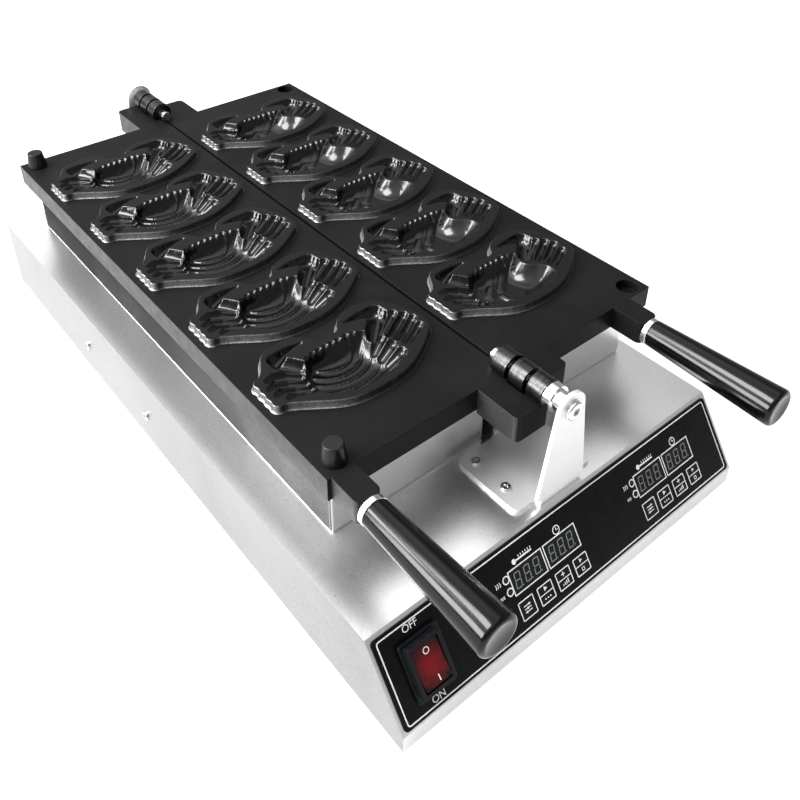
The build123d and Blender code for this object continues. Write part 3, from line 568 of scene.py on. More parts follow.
class Finishes:
    """Every finish of the machine, built once."""

    def __init__(self) -> None:
        """Build the materials."""
        self.deck = BrushedSteel("deck_steel").build()
        self.band = BrushedSteel(
            "band_steel", strokes=(0.12, 1.0, 1.0), dark=grey(0.52), light=grey(0.64)).build()
        # The sheets' side faces and the rear panel take darker copies of the same brushed steel as painted
        # shade: wall on the sides, flank on the heater boxes' left sides.
        self.wall = BrushedSteel("shaded_wall_steel", dark=grey(0.22), light=grey(0.34)).build()
        self.box = BrushedSteel("box_steel", dark=grey(0.66), light=grey(0.78)).build()
        self.shaded_box_flank = BrushedSteel("shaded_box_flank_steel", dark=grey(0.06), light=grey(0.12), edge=0.3).build()
        self.bracket = BrushedSteel(
            "bracket_steel", strokes=(1.0, 0.4, 0.4), dark=grey(0.74), light=grey(0.82), low_rough=0.40,
            high_rough=0.48, depth=0.002 * MM, metallic=0.75).build()
        self.chrome = PolishedMetal("polished_steel").build()
        self.screw = PolishedMetal(
            "screw_steel", colour=(0.66, 0.66, 0.67), low_rough=0.18, high_rough=0.3).build()
        self.knuckle = TurnedSteel("turned_steel").build()
        self.element = PolishedMetal(
            "element_sheath", colour=(0.30, 0.28, 0.26), low_rough=0.35, high_rough=0.5).build()
        self.coating = CastCoating("plate_coating").build()
        self.pin = CastCoating("pin_coating", low_rough=0.22, high_rough=0.34, specular=0.22).build()
        self.bare = BareCasting("bare_casting").build()
        self.mould = MouldCoating("mould_coating").build()
        # The hollows' coating is darker than the rim's: painted shade in the recesses, with a stronger
        # specular for their highlights.
        self.hollow = Plastic(
            "shaded_hollow_coating", grey(0.0005), grey(0.0012), 0.13, 0.20, specular=0.37, grain_scale=1500.0,
            bump=0.12).build()
        self.grip = Plastic(
            "grip_bakelite", grey(0.0006), grey(0.0014), 0.13, 0.17, specular=0.24, bump=0.02).build()
        self.panel = Plastic(
            "panel_face", grey(0.001), grey(0.002), 0.22, 0.30, bump=0.01, specular=0.12).build()
        self.key = Plastic("key_face", grey(0.001), grey(0.003), 0.26, 0.34, bump=0.02, specular=0.14).build()
        self.lens = Plastic(
            "display_lens", (0.004, 0.006, 0.007), (0.007, 0.010, 0.012), 0.10, 0.16, bump=0.0,
            specular=0.25).build()
        self.print = Plastic("panel_print", grey(0.66), grey(0.80), 0.42, 0.55).build()
        self.digit = Plastic("digit_segment", (0.13, 0.13, 0.12), (0.20, 0.20, 0.18), 0.3, 0.4).build()
        self.lamp = Plastic("lamp_lens", grey(0.004), grey(0.010), 0.12, 0.2, specular=0.3).build()
        self.boot = Plastic(
            "switch_frame", (0.002, 0.0023, 0.003), (0.005, 0.0058, 0.007), 0.24, 0.34, specular=0.22).build()
        rocker_low, rocker_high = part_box("rocker_button")
        self.rocker = ClearRed("rocker_red", tuple((rocker_low + rocker_high) / 2), 16.0 * MM).build()
        self.rubber = Plastic("foot_rubber", grey(0.010), grey(0.022), 0.6, 0.75, bump=0.4).build()
        self.board = Plastic(
            "board_green", (0.01, 0.10, 0.04), (0.02, 0.17, 0.07), 0.3, 0.4, coat=0.3).build()
        self.inner = Plastic("inner_plastic", grey(0.05), grey(0.09), 0.4, 0.55).build()
        self.ceramic = Plastic(
            "ceramic_board", (0.62, 0.60, 0.55), (0.76, 0.74, 0.69), 0.75, 0.9, bump=0.5).build()


# Mesh helpers


def open_copy(node: str) -> Mesh:
    """A merged copy of a CAD node's mesh.

    Args:
        node: the node's name.

    Returns:
        The copy, which the caller changes and frees.
    """
    bm = bmesh.new()
    bm.from_mesh(frame["nodes"][node].data)
    bmesh.ops.remove_doubles(bm, verts=bm.verts, dist=WELD)
    return bm


def close_mesh(bm: Mesh, name: str, body: str, material: Material, smooth_angle: float = 35.0,
               even: bool = True) -> bpy.types.Object:
    """Turn a bmesh into a piece that rides on a body.

    Args:
        bm: the finished mesh; it is freed.
        name: the piece's name.
        body: the body that it moves with.
        material: its finish.
        smooth_angle: edges sharper than this many degrees stay crisp.
        even: keep large flat faces evenly lit right up to their rounded edges.

    Returns:
        The piece.
    """
    mesh = bpy.data.meshes.new(name)
    bm.to_mesh(mesh)
    bm.free()
    mesh.shade_smooth()
    mesh.set_sharp_from_angle(angle=math.radians(smooth_angle))
    piece = bpy.data.objects.new(name, mesh)
    bpy.context.scene.collection.objects.link(piece)
    mesh.materials.append(material)
    if even:
        weighted = piece.modifiers.new("even_light", "WEIGHTED_NORMAL")
        weighted.keep_sharp = True
    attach(piece, body)
    return piece


def soften(bm: Mesh, width: float, segments: int = 2, flat: float = 0.5, sharp: float = 30.0) -> None:
    """Merge flat faces, then round every sharp edge by one width.

    Args:
        bm: the mesh to change.
        width: how far the rounding reaches from the edge.
        segments: faces across the rounding.
        flat: faces that meet at less than this many degrees are merged.
        sharp: edges that bend by more than this many degrees are rounded.
    """
    bmesh.ops.dissolve_limit(bm, angle_limit=math.radians(flat), verts=bm.verts, edges=bm.edges)
    bends = [edge for edge in bm.edges
             if len(edge.link_faces) == 2 and edge.calc_face_angle(0.0) > math.radians(sharp)]
    bmesh.ops.bevel(bm, geom=bends, offset=width, offset_type="OFFSET", affect="EDGES", segments=segments,
                    profile=0.5, material=-1, clamp_overlap=True)


def face_finish(piece: bpy.types.Object, material: Material, direction: Vector, least: float = 0.8) -> None:
    """Give the faces that look in a direction a finish of their own.

    Args:
        piece: the piece.
        material: the faces' finish.
        direction: where they look, as a unit vector.
        least: the least cosine between a face's normal and the direction.
    """
    piece.data.materials.append(material)
    for face in piece.data.polygons:
        if face.normal.dot(direction) > least:
            face.material_index = len(piece.data.materials) - 1


def refined(node: str, body: str, material: Material, width: float,
            segments: int = 2) -> bpy.types.Object:
    """A node's own shape with rounded edges, in place of the node.

    Args:
        node: the CAD node.
        body: the body that it moves with.
        material: its finish.
        width: how far the rounding reaches from each edge.
        segments: faces across the rounding.

    Returns:
        The piece.
    """
    bm = open_copy(node)
    soften(bm, width, segments)
    piece = close_mesh(bm, f"{node}_finish", body, material)
    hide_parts(node)
    return piece


def dress(material: Material, nodes: tuple[str, ...]) -> None:
    """Give CAD nodes a finish.

    Args:
        material: the finish.
        nodes: the nodes' names.
    """
    for node in nodes:
        mesh = frame["nodes"][node].data
        mesh.materials.clear()
        mesh.materials.append(material)


def lathe(profile: list[tuple[float, float]], axis: Vector, centre: Vector, steps: int = 72) -> Mesh:
    """Spin a profile round an axis.

    Args:
        profile: distance along the axis and radius of each point.
        axis: the axis' direction.
        centre: where distance 0 lies.
        steps: faces round the axis.

    Returns:
        The closed mesh.
    """
    bm = bmesh.new()
    side = axis.orthogonal().normalized()
    verts = [bm.verts.new(centre + axis * along + side * radius) for along, radius in profile]
    edges = [bm.edges.new(pair) for pair in zip(verts, verts[1:])]
    bmesh.ops.spin(bm, geom=verts + edges, cent=centre, axis=axis, angle=math.tau, steps=steps,
                   use_merge=True)
    bmesh.ops.remove_doubles(bm, verts=bm.verts, dist=WELD)
    bmesh.ops.recalc_face_normals(bm, faces=bm.faces)
    return bm


def turned(place: Vector, across: Vector, up: Vector, out: Vector) -> Matrix:
    """The matrix that puts X, Y and Z along three directions at a place."""
    return Matrix.Translation(place) @ Matrix((across, up, out)).transposed().to_4x4()


# The machine's places, read from the frame


@dataclass
class Places:
    """Points and heights that the pieces share."""

    island_height: float = 6.0 * MM
    closing_gap: float = 0.3 * MM
    slope_run: float = 38.5 * MM
    lip_height: float = 16.0 * MM
    hinge: Vector = field(default_factory=lambda: Vector(frame["joints"][0]["pos_m"]))

    def __post_init__(self) -> None:
        """Work out what follows from the boxes of the nodes."""
        self.island_top = self.hinge.z - self.closing_gap / 2
        self.plate_top = self.island_top - self.island_height
        panel_low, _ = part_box("front_panel")
        deck_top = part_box("base_cover")[1].z
        self.edge = Vector((0.0, panel_low.y + self.slope_run, deck_top))
        rise = deck_top - panel_low.z - self.lip_height
        length = math.hypot(self.slope_run, rise)
        self.down = Vector((0.0, -self.slope_run / length, -rise / length))
        self.out = Vector((0.0, -rise / length, self.slope_run / length))

    def on_panel(self, x: float, s: float, height: float) -> Matrix:
        """The matrix of a place on the sloped panel.

        Args:
            x: distance right of the machine's middle, in metres.
            s: distance down the slope from the deck's edge.
            height: distance out of the steel.

        Returns:
            X to the right, Y up the slope, Z outwards.
        """
        origin = self.edge + RIGHTWARDS * x + self.down * s + self.out * height
        return turned(origin, RIGHTWARDS, -self.down, self.out)


# Moulds


@dataclass(frozen=True)
class Stroke:
    """One round-bottomed groove: (u, v, radius, depth) at each point of its path, in millimetres."""

    path: tuple[tuple[float, float, float, float], ...]
    fullness: float = 0.75

    def depth(self, u: np.ndarray, v: np.ndarray) -> np.ndarray:
        """How deep this groove is.

        Args:
            u: each point's place to the right.
            v: each point's place to the rear.

        Returns:
            The depth under each point, 0 outside the groove.
        """
        deepest = np.zeros_like(u)
        for (u0, v0, r0, d0), (u1, v1, r1, d1) in zip(self.path, self.path[1:]):
            run_u, run_v = u1 - u0, v1 - v0
            t = np.clip(((u - u0) * run_u + (v - v0) * run_v) / (run_u**2 + run_v**2), 0.0, 1.0)
            away = np.hypot(u - u0 - t * run_u, v - v0 - t * run_v) / (r0 + (r1 - r0) * t)
            round_floor = np.clip(1.0 - away**2, 0.0, None) ** self.fullness
            deepest = np.maximum(deepest, (d0 + (d1 - d0) * t) * round_floor)
        return deepest


def edge_distance(points: np.ndarray, loop: np.ndarray) -> tuple[np.ndarray, np.ndarray, np.ndarray]:
    """How far points lie inside a closed loop.

    Args:
        points: an N by 2 array.
        loop: the loop's corners, an M by 2 array.

    Returns:
        The distance inside (negative outside), the nearest point of the loop and the outward direction there.
    """
    start, end = loop, np.roll(loop, -1, axis=0)
    run = end - start
    length2 = (run**2).sum(1)
    offset = points[:, None, :] - start[None, :, :]
    t = np.clip((offset * run).sum(2) / length2, 0.0, 1.0)
    gap = offset - t[:, :, None] * run
    away = np.hypot(gap[:, :, 0], gap[:, :, 1])
    nearest = away.argmin(1)
    rows = np.arange(len(points))
    closest = start[nearest] + t[rows, nearest][:, None] * run[nearest]
    crosses = (start[None, :, 1] > points[:, None, 1]) != (end[None, :, 1] > points[:, None, 1])
    with np.errstate(divide="ignore", invalid="ignore"):
        cut = start[None, :, 0] + (points[:, None, 1] - start[None, :, 1]) * run[None, :, 0] / run[None, :, 1]
    inside = (crosses & (points[:, None, 0] < cut)).sum(1) % 2 == 1
    area = (start[:, 0] * end[:, 1] - end[:, 0] * start[:, 1]).sum()
    outward = np.stack([run[:, 1], -run[:, 0]], 1) * np.sign(area)
    outward /= np.hypot(outward[:, 0], outward[:, 1])[:, None]
    distance = away[rows, nearest] * np.where(inside, 1.0, -1.0)
    return distance, closest, outward[nearest]


@dataclass(frozen=True)
class Carving:
    """What is carved into one mould, in millimetres from its reference point.

    The bowl's wall at the left and at the right are each given by their width and their steepness.
    """

    body: tuple[tuple[float, float], ...]
    body_depth: float
    left: tuple[float, float]
    right: tuple[float, float]
    limbs: tuple[Stroke, ...]
    shell: tuple[float, float] = (0.0, 0.0)
    plates: tuple[float, ...] = ()
    plate_step: float = 0.0
    plate_bend: int = 3
    plate_end: float = 90.0
    folds: tuple[Stroke, ...] = ()
    fold_rise: float = 0.0
    body_round: float = 3.0
    half_width: float = 24.0

    def depth(self, points: np.ndarray) -> np.ndarray:
        """How deep the hollow is.

        Args:
            points: an N by 2 array, in millimetres.

        Returns:
            The depth under each point, in millimetres.
        """
        u, v = points[:, 0], points[:, 1]
        inside, _, _ = edge_distance(points, smooth_loop(np.array(self.body, float), self.body_round))
        across = np.clip((u + self.half_width) / (2 * self.half_width), 0.0, 1.0)
        width, steepness = (start + (end - start) * across for start, end in zip(self.left, self.right))
        share = np.clip(inside / width, 0.0, 1.0)
        bowl = self.body_depth * (1.0 - (1.0 - share) ** steepness)
        reach = np.hypot(u - self.shell[0], v - self.shell[1])
        for inner, outer in zip((0.0, *self.plates), (*self.plates, self.plate_end)):
            rise = self.plate_step * share * ((reach - inner) / (outer - inner)) ** self.plate_bend
            bowl = np.where((reach >= inner) & (reach < outer), bowl - rise, bowl)
        for fold in self.folds:
            bowl = bowl - self.fold_rise * share * fold.depth(u, v)
        deepest = np.clip(bowl, 0.0, None)
        for limb in self.limbs:
            deepest = np.maximum(deepest, limb.depth(u, v))
        return deepest


CLAWS = (
    Stroke(((-20, 30.5, 1.3, 1.6), (-28, 31, 2.4, 4.0), (-37, 29.5, 4.4, 6.0), (-45, 26.5, 6.6, 7.5))),
    Stroke(((-45, 22, 6.6, 6.0), (-40, 15.5, 7.2, 6.5), (-35, 10, 6.0, 7.0)), 1.0),
    Stroke(((18.5, 29.2, 1.2, 1.6), (26, 29.6, 2.6, 4.5), (35, 28.8, 4.6, 6.5), (45, 26, 7.4, 8.0))),
    Stroke(((45.5, 22, 7.6, 8.0), (37, 14, 7.6, 8.5), (28, 5, 6.6, 9.0))),
)
TEETH = tuple(
    Stroke(((u, v, 2.5, 1.8), (u - 0.6, v - 5.0, 3.1, 6.5)))
    for u, v in ((-26, 13.5), (-20.5, 15), (-14.5, 15.8), (-8.5, 16.2), (-2.6, 16.2), (3.2, 16.2),
                 (10.5, 16.4), (16, 15))
)
BELLY = Carving(
    body=((-25, 15), (-31, 10), (-35, 5), (-37, -1), (-38.5, -8), (-38.5, -18), (-35, -26), (-26, -32),
          (-17, -35), (-8, -36), (3, -35.7), (14, -35), (23, -32.5), (28, -28), (29, -20), (28, -12),
          (26, -4), (25, 4), (26, 10), (24, 15), (14, 15.5), (2, 15.5), (-10, 15.5), (-18, 15)),
    body_depth=13.0,
    left=(8.0, 3.2),
    right=(20.0, 1.8),
    limbs=CLAWS + TEETH + (
        Stroke(((28, -2, 6.0, 5.0), (19, -6, 8.0, 10.0)), 1.0),
        Stroke(((31, -12, 6.0, 5.0), (20, -14, 8.5, 11.0)), 1.0),
        Stroke(((30, -23, 6.0, 5.0), (19, -22, 8.5, 11.0)), 1.0),
        Stroke(((-62, 11, 2.6, 2.4), (-55, 11.5, 4.4, 5.0), (-48, 9, 4.8, 6.0), (-39, 3, 3.6, 6.5))),
        Stroke(((-65, 3, 2.6, 2.4), (-58, 4.5, 4.2, 5.0), (-50, 2, 4.8, 6.5), (-39.5, -4, 3.6, 7.0))),
        Stroke(((-64, -5, 2.6, 2.4), (-57, -3.5, 4.0, 5.0), (-49, -6, 4.6, 6.5), (-40, -10.5, 3.4, 7.0))),
        Stroke(((-59, -12.5, 2.4, 2.2), (-52, -11.5, 3.8, 4.6), (-46, -13.5, 4.0, 6.0),
                (-40, -16.5, 3.2, 6.5))),
        Stroke(((36, 6, 5.0, 7.5), (46, 12, 4.8, 6.5), (54, 15.5, 4.6, 4.6)), 1.0),
        Stroke(((38.5, -2, 5.0, 6.5), (49, 3.5, 5.0, 6.5), (59, 8.8, 4.8, 5.0)), 1.0),
        Stroke(((41, -9.5, 5.0, 5.5), (52, -4, 5.0, 6.0), (62, 1.8, 4.8, 4.6)), 1.0),
        Stroke(((43, -16, 4.6, 4.6), (53, -11.5, 4.6, 5.0), (61, -7.5, 4.4, 4.2)), 1.0),
    ),
    shell=(-6, 20),
    plates=(11.0, 20.0, 28.0, 35.0, 43.0),
    plate_step=1.6,
)
BACK = Carving(
    body=((-25, 15), (-33, 11), (-38, 5), (-41, -3), (-41.5, -12), (-39, -20), (-33, -27), (-23, -32),
          (-10, -34.7), (2, -35.2), (14, -34.3), (26.5, -31.2), (32.6, -24.5), (33.6, -17.5), (29, -10.5),
          (21, -5), (19, 1), (22, 8), (26, 15), (14, 15.5), (2, 15.5), (-10, 15.5), (-18, 15)),
    body_depth=13.0,
    left=(10.0, 3.5),
    right=(24.0, 1.9),
    limbs=CLAWS + TEETH + (
        Stroke(((-61, 10.5, 2.6, 2.4), (-55, 9.5, 4.4, 4.6), (-48, 5, 4.6, 5.6), (-42, -1, 3.6, 6.0))),
        Stroke(((-63.5, 2, 2.6, 2.4), (-57, 1, 4.2, 4.6), (-50, -3.5, 4.6, 5.6), (-43, -9, 3.6, 6.0))),
        Stroke(((-61, -6, 2.4, 2.2), (-55, -7, 3.8, 4.2), (-48, -11.5, 4.2, 5.4), (-41.5, -16, 3.4, 6.0))),
        Stroke(((-56, -14, 2.2, 2.0), (-50, -15.5, 3.4, 3.8), (-44, -19.5, 3.6, 4.8),
                (-39, -22.5, 3.0, 5.5))),
        Stroke(((31, 3.5, 5.0, 8.5), (42, 11, 4.8, 7.0), (51.5, 15.7, 4.6, 5.0)), 1.0),
        Stroke(((34, -2.5, 5.0, 6.5), (46, 4, 5.0, 6.5), (57, 10, 4.8, 5.0)), 1.0),
        Stroke(((37, -9.5, 5.0, 5.0), (49, -3.5, 5.0, 6.0), (60.5, 2.8, 4.8, 4.6)), 1.0),
        Stroke(((39, -17, 4.8, 4.4), (50, -12, 4.8, 5.0), (59.5, -7.5, 4.4, 4.2)), 1.0),
    ),
    folds=(
        Stroke(((-2, 12, 5.0, 1.0), (-22, -6, 4.5, 0.4))),
        Stroke(((9, 12, 5.0, 1.0), (-9, -4, 4.5, 0.4))),
        Stroke(((20, 7, 3.0, 0.9), (15, 0, 3.0, 0.9), (19, -5, 3.0, 0.5))),
        Stroke(((-14, -12, 2.6, 0.8), (-14, -19, 2.6, 1.0), (-9, -24, 2.6, 1.0), (0, -24, 2.6, 0.8),
                (5, -19, 2.6, 0.3))),
    ),
    fold_rise=2.2,
)


def smooth_loop(loop: np.ndarray, reach: float, step: float = 0.5) -> np.ndarray:
    """Even out a closed loop's corners.

    Args:
        loop: the corners, an N by 2 array, in millimetres.
        reach: how far along the loop, each way, a point is averaged over.
        step: distance between the new points.

    Returns:
        The new corners.
    """
    closed = np.vstack([loop, loop[:1]])
    along = np.concatenate([[0.0], np.cumsum(np.hypot(*np.diff(closed, axis=0).T))])
    places = np.arange(0.0, along[-1], step)
    points = np.stack([np.interp(places, along, closed[:, axis]) for axis in (0, 1)], 1)
    count = round(reach / step)
    return sum(np.roll(points, shift, axis=0) for shift in range(-count, count + 1)) / (2 * count + 1)


@dataclass
class MouldInsert:
    """One raised mould: outer wall, flat rim and carved hollow, as one skin, in millimetres."""

    carving: Carving
    loop: np.ndarray
    cell: float = 0.62
    outside: float = 0.5
    snapped: float = 0.55
    foot: tuple[tuple[float, float], ...] = (
        (0.62, -0.1), (0.3, -0.36), (0.1, -0.8), (0.0, -1.4), (-0.2, -5.0), (-0.7, -5.7), (-1.6, -6.02))
    rim_inset: float = 1.1
    lip: float = 0.3
    corner_reach: float = 2.5
    smoothing: int = 2
    # The wall's painted highlight: the height below which it starts, its least share, and how sharply it
    # gathers on the walls that face left.
    wear_and_sheen_below: float = -0.3
    least_wear_and_sheen: float = 0.06
    sheen_bend: float = 1.5

    def build(self) -> Mesh:
        """The mould about its own reference point, with its rim at height 0.

        Returns:
            A mesh with a wall layer on its vertices, and material 1 on the hollow's faces.
        """
        self.loop = smooth_loop(self.loop, self.corner_reach)
        bm = bmesh.new()
        wall = bm.verts.layers.float.new("wall")
        self._rim(bm)
        self._carve(bm)
        self._wall(bm, wall)
        bmesh.ops.recalc_face_normals(bm, faces=bm.faces)
        return bm

    def _rim(self, bm: Mesh) -> None:
        """Lay a flat grid that ends on a line just inside the mould's border.

        Args:
            bm: the empty mesh.
        """
        low, high = self.loop.min(0) - self.cell, self.loop.max(0) + self.cell
        size, middle = high - low, (low + high) / 2
        columns, rows = (round(length / self.cell) for length in size)
        bmesh.ops.create_grid(bm, x_segments=columns, y_segments=rows, size=0.5)
        bmesh.ops.scale(bm, verts=bm.verts, vec=(size[0], size[1], 1.0))
        bmesh.ops.translate(bm, verts=bm.verts, vec=(middle[0], middle[1], 0.0))
        points = np.array([vert.co[:2] for vert in bm.verts])
        inside, closest, outward = edge_distance(points, self.loop)
        inside -= self.rim_inset
        closest = closest - outward * self.rim_inset
        far = []
        for vert, gap, place in zip(bm.verts, inside, closest):
            if gap < -self.outside * self.cell:
                far.append(vert)
            elif gap < self.snapped * self.cell:
                vert.co.x, vert.co.y = place
        bmesh.ops.delete(bm, geom=far, context="VERTS")

    def _carve(self, bm: Mesh) -> None:
        """Push the rim down to the hollow's floor.

        Args:
            bm: the flat rim.
        """
        verts = list(bm.verts)
        depth = self.carving.depth(np.array([vert.co[:2] for vert in verts]))
        for vert, low in zip(verts, depth):
            vert.co.z = -low
        hollow = [vert for vert, low in zip(verts, depth) if low > 0.0]
        deep = {vert for vert, low in zip(verts, depth) if low > self.lip}
        # Faces in the hollow take the darker hollow material: painted shade.
        for face in bm.faces:
            face.material_index = 1 if deep.intersection(face.verts) else 0
        for _ in range(self.smoothing):
            bmesh.ops.smooth_vert(bm, verts=hollow, factor=0.5, use_axis_x=True, use_axis_y=True,
                                  use_axis_z=True)

    def _wall(self, bm: Mesh, wall: bmesh.types.BMLayerItem) -> None:
        """Draw the border out and down to the plate, ring by ring.

        Args:
            bm: the rim and the hollow.
            wall: the layer that says how much painted highlight the outer wall gets, most where it faces
                left.
        """
        border = [edge for edge in bm.edges if edge.is_boundary]
        for inset, height in self.foot:
            made = bmesh.ops.extrude_edge_only(bm, edges=border)["geom"]
            verts = [item for item in made if isinstance(item, bmesh.types.BMVert)]
            points = np.array([vert.co[:2] for vert in verts])
            _, closest, outward = edge_distance(points, self.loop)
            for vert, place, normal in zip(verts, closest, outward):
                vert.co.x, vert.co.y = place - normal * inset
                vert.co.z = height
                # Painted highlight: walls that face left, towards the light, get the most grey; the others
                # get a faint even share.
                leftward = max(0.0, -normal[0]) ** self.sheen_bend
                wear_and_sheen = self.least_wear_and_sheen + (1.0 - self.least_wear_and_sheen) * leftward
                vert[wall] = wear_and_sheen if height < self.wear_and_sheen_below else 0.0
            border = [item for item in made if isinstance(item, bmesh.types.BMEdge)]


class Side(Enum):
    """Which of the two plates."""

    LEFT = "left"
    RIGHT = "right"

    @property
    def sign(self) -> int:
        """-1 on the left, 1 on the right."""
        return -1 if self is Side.LEFT else 1


@dataclass
class MouldPlate:
    """A coated plate, its five moulds and its bare knuckles."""

    side: Side
    places: Places
    finishes: Finishes
    edge_round: float = 0.5 * MM
    mould_middle: tuple[float, float] = (-2.0 * MM, -0.5 * MM)
    mould_reach: tuple[float, float] = (72.0 * MM, 42.0 * MM)
    mould_crispness: float = 70.0
    skin: float = 0.02 * MM
    hollow_starts: float = 0.3 * MM
    bottom_layer: float = 1.0 * MM
    floor_slope: float = -0.5
    least_corners: int = 40
    knuckle_length: float = 14.0 * MM
    knuckle_step: float = 17.2 * MM
    knuckle_gap: float = 0.3 * MM
    knuckle_skin: float = 0.06 * MM
    knuckle_round: float = 0.7 * MM
    knuckle_slant: float = 0.3
    bore_radius: float = 5.2 * MM

    @property
    def body(self) -> str:
        """The body that the plate moves with."""
        return f"{self.side.value}_plate"

    @property
    def node(self) -> str:
        """The plate's CAD node."""
        return f"{self.side.value}_mould_plate"

    def mould_places(self) -> list[Vector]:
        """The moulds' reference points, from the record's openings.

        Returns:
            One point for each mould, from the front to the rear, at height 0.
        """
        found = []
        for opening in frame["record"]["physics"]["openings"]:
            if opening["name"].startswith(f"{self.side.value}_mould"):
                low, high = (Vector(corner) for corner in opening["box_m"])
                middle = (low + high) / 2
                found.append(Vector((middle.x - self.mould_middle[0], middle.y - self.mould_middle[1], 0.0)))
        return found

    def build(self) -> None:
        """Make the casting, the moulds and the knuckles."""
        bm = open_copy(self.node)
        self._clear_moulds(bm)
        loops = self._border_loops(bm)
        soften(bm, self.edge_round)
        casting = close_mesh(bm, f"{self.side.value}_plate_casting", self.body,
                             self.finishes.coating)
        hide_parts(self.node)
        face_finish(casting, self.finishes.bare, RIGHTWARDS * self.side.sign)
        self._moulds(loops)
        self._knuckles()

    def _clear_moulds(self, bm: Mesh) -> None:
        """Take the raised moulds, their hollows and the knuckles off the casting.

        Args:
            bm: the copy of the plate's solid.
        """
        top = self.places.plate_top
        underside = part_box("left_heater_box")[1].z + self.bottom_layer
        places = self.mould_places()
        reach_x, reach_y = self.mould_reach
        unwanted = []
        for face in bm.faces:
            centre = face.calc_center_median()
            low = centre.z < top - self.hollow_starts and face.normal.z > self.floor_slope
            hollow = low and any(
                abs(centre.x - place.x) < reach_x and abs(centre.y - place.y) < reach_y for place in places)
            if centre.z > top + self.skin or (hollow and centre.z > underside):
                unwanted.append(face)
        bmesh.ops.delete(bm, geom=unwanted, context="FACES")

    def _border_loops(self, bm: Mesh) -> list[np.ndarray]:
        """The open borders of the plate's top face.

        Args:
            bm: the casting without its moulds.

        Returns:
            One closed loop of points for each mould.
        """
        bm.edges.index_update()
        left = {edge.index: edge for edge in bm.edges if edge.is_boundary}
        loops = []
        while left:
            start, vert = left.pop(min(left)).verts
            points = [start.co[:2], vert.co[:2]]
            while vert is not start:
                step = next((edge for edge in vert.link_edges if edge.index in left), None)
                if step is None:
                    break
                del left[step.index]
                vert = step.other_vert(vert)
                points.append(vert.co[:2])
            loops.append(np.array(points[:-1]))
        return [loop for loop in loops if len(loop) > self.least_corners]

    def _moulds(self, loops: list[np.ndarray]) -> None:
        """Carve one mould and set a copy of it in each place.

        Args:
            loops: the moulds' borders on the plate's top face.
        """
        places = self.mould_places()
        first = np.array(places[0][:2])
        loop = min(loops, key=lambda points: np.abs(points.mean(0) - first).sum())
        carving = BELLY if self.side is Side.LEFT else BACK
        shape = MouldInsert(carving, (loop - first) / MM).build()
        for number, place in enumerate(places, 1):
            copy = shape.copy()
            bmesh.ops.scale(copy, verts=copy.verts, vec=(MM, MM, MM))
            bmesh.ops.translate(copy, verts=copy.verts, vec=(place.x, place.y, self.places.island_top))
            piece = close_mesh(copy, f"{self.side.value}_mould_{number}", self.body,
                               self.finishes.mould, smooth_angle=self.mould_crispness, even=False)
            piece.data.materials.append(self.finishes.hollow)
        shape.free()
        log.info("%s plate: casting and %d moulds", self.side.value, len(places))

    def _knuckle_spans(self) -> list[tuple[float, float]]:
        """Where this plate's knuckles start and end along the hinge line.

        They come in two groups of three. The outer two are the left plate's, the middle one the right's.

        Returns:
            The span of each knuckle, from the front to the rear.
        """
        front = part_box("front_hinge_bush")[1].y + self.knuckle_gap
        rear_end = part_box("rear_hinge_bush")[0].y - self.knuckle_gap
        rear = rear_end - 2 * self.knuckle_step - self.knuckle_length
        starts = [first + self.knuckle_step * step for first in (front, rear) for step in range(3)]
        mine = (0, 2, 3, 5) if self.side is Side.LEFT else (1, 4)
        return [(starts[index], starts[index] + self.knuckle_length) for index in mine]

    def _knuckles(self) -> None:
        """Turned steel sleeves over the casting's own knuckles."""
        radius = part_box(self.node)[1].z - self.places.hinge.z + self.knuckle_skin
        bore, corner = self.bore_radius, self.knuckle_round
        slant = corner * self.knuckle_slant
        centre = Vector((self.places.hinge.x, 0.0, self.places.hinge.z))
        for number, (start, end) in enumerate(self._knuckle_spans(), 1):
            profile = [(start, bore), (start, radius - corner), (start + slant, radius - slant),
                       (start + corner, radius), (end - corner, radius), (end - slant, radius - slant),
                       (end, radius - corner), (end, bore), (start, bore)]
            close_mesh(lathe(profile, REARWARDS, centre), f"{self.side.value}_knuckle_{number}", self.body,
                       self.finishes.knuckle)
        log.info("%s plate: knuckles", self.side.value)


# Camera, light and floor


@dataclass(frozen=True)
class SoftBox:
    """One area light: where it is, its two sides in metres and its watts."""

    name: str
    place: Triple
    size: tuple[float, float]
    power: float


@dataclass(frozen=True)
class Glow:
    """A bright part of the surroundings, between two cosines of the angle to its direction."""

    direction: Triple
    starts: float
    full: float
    strength: float


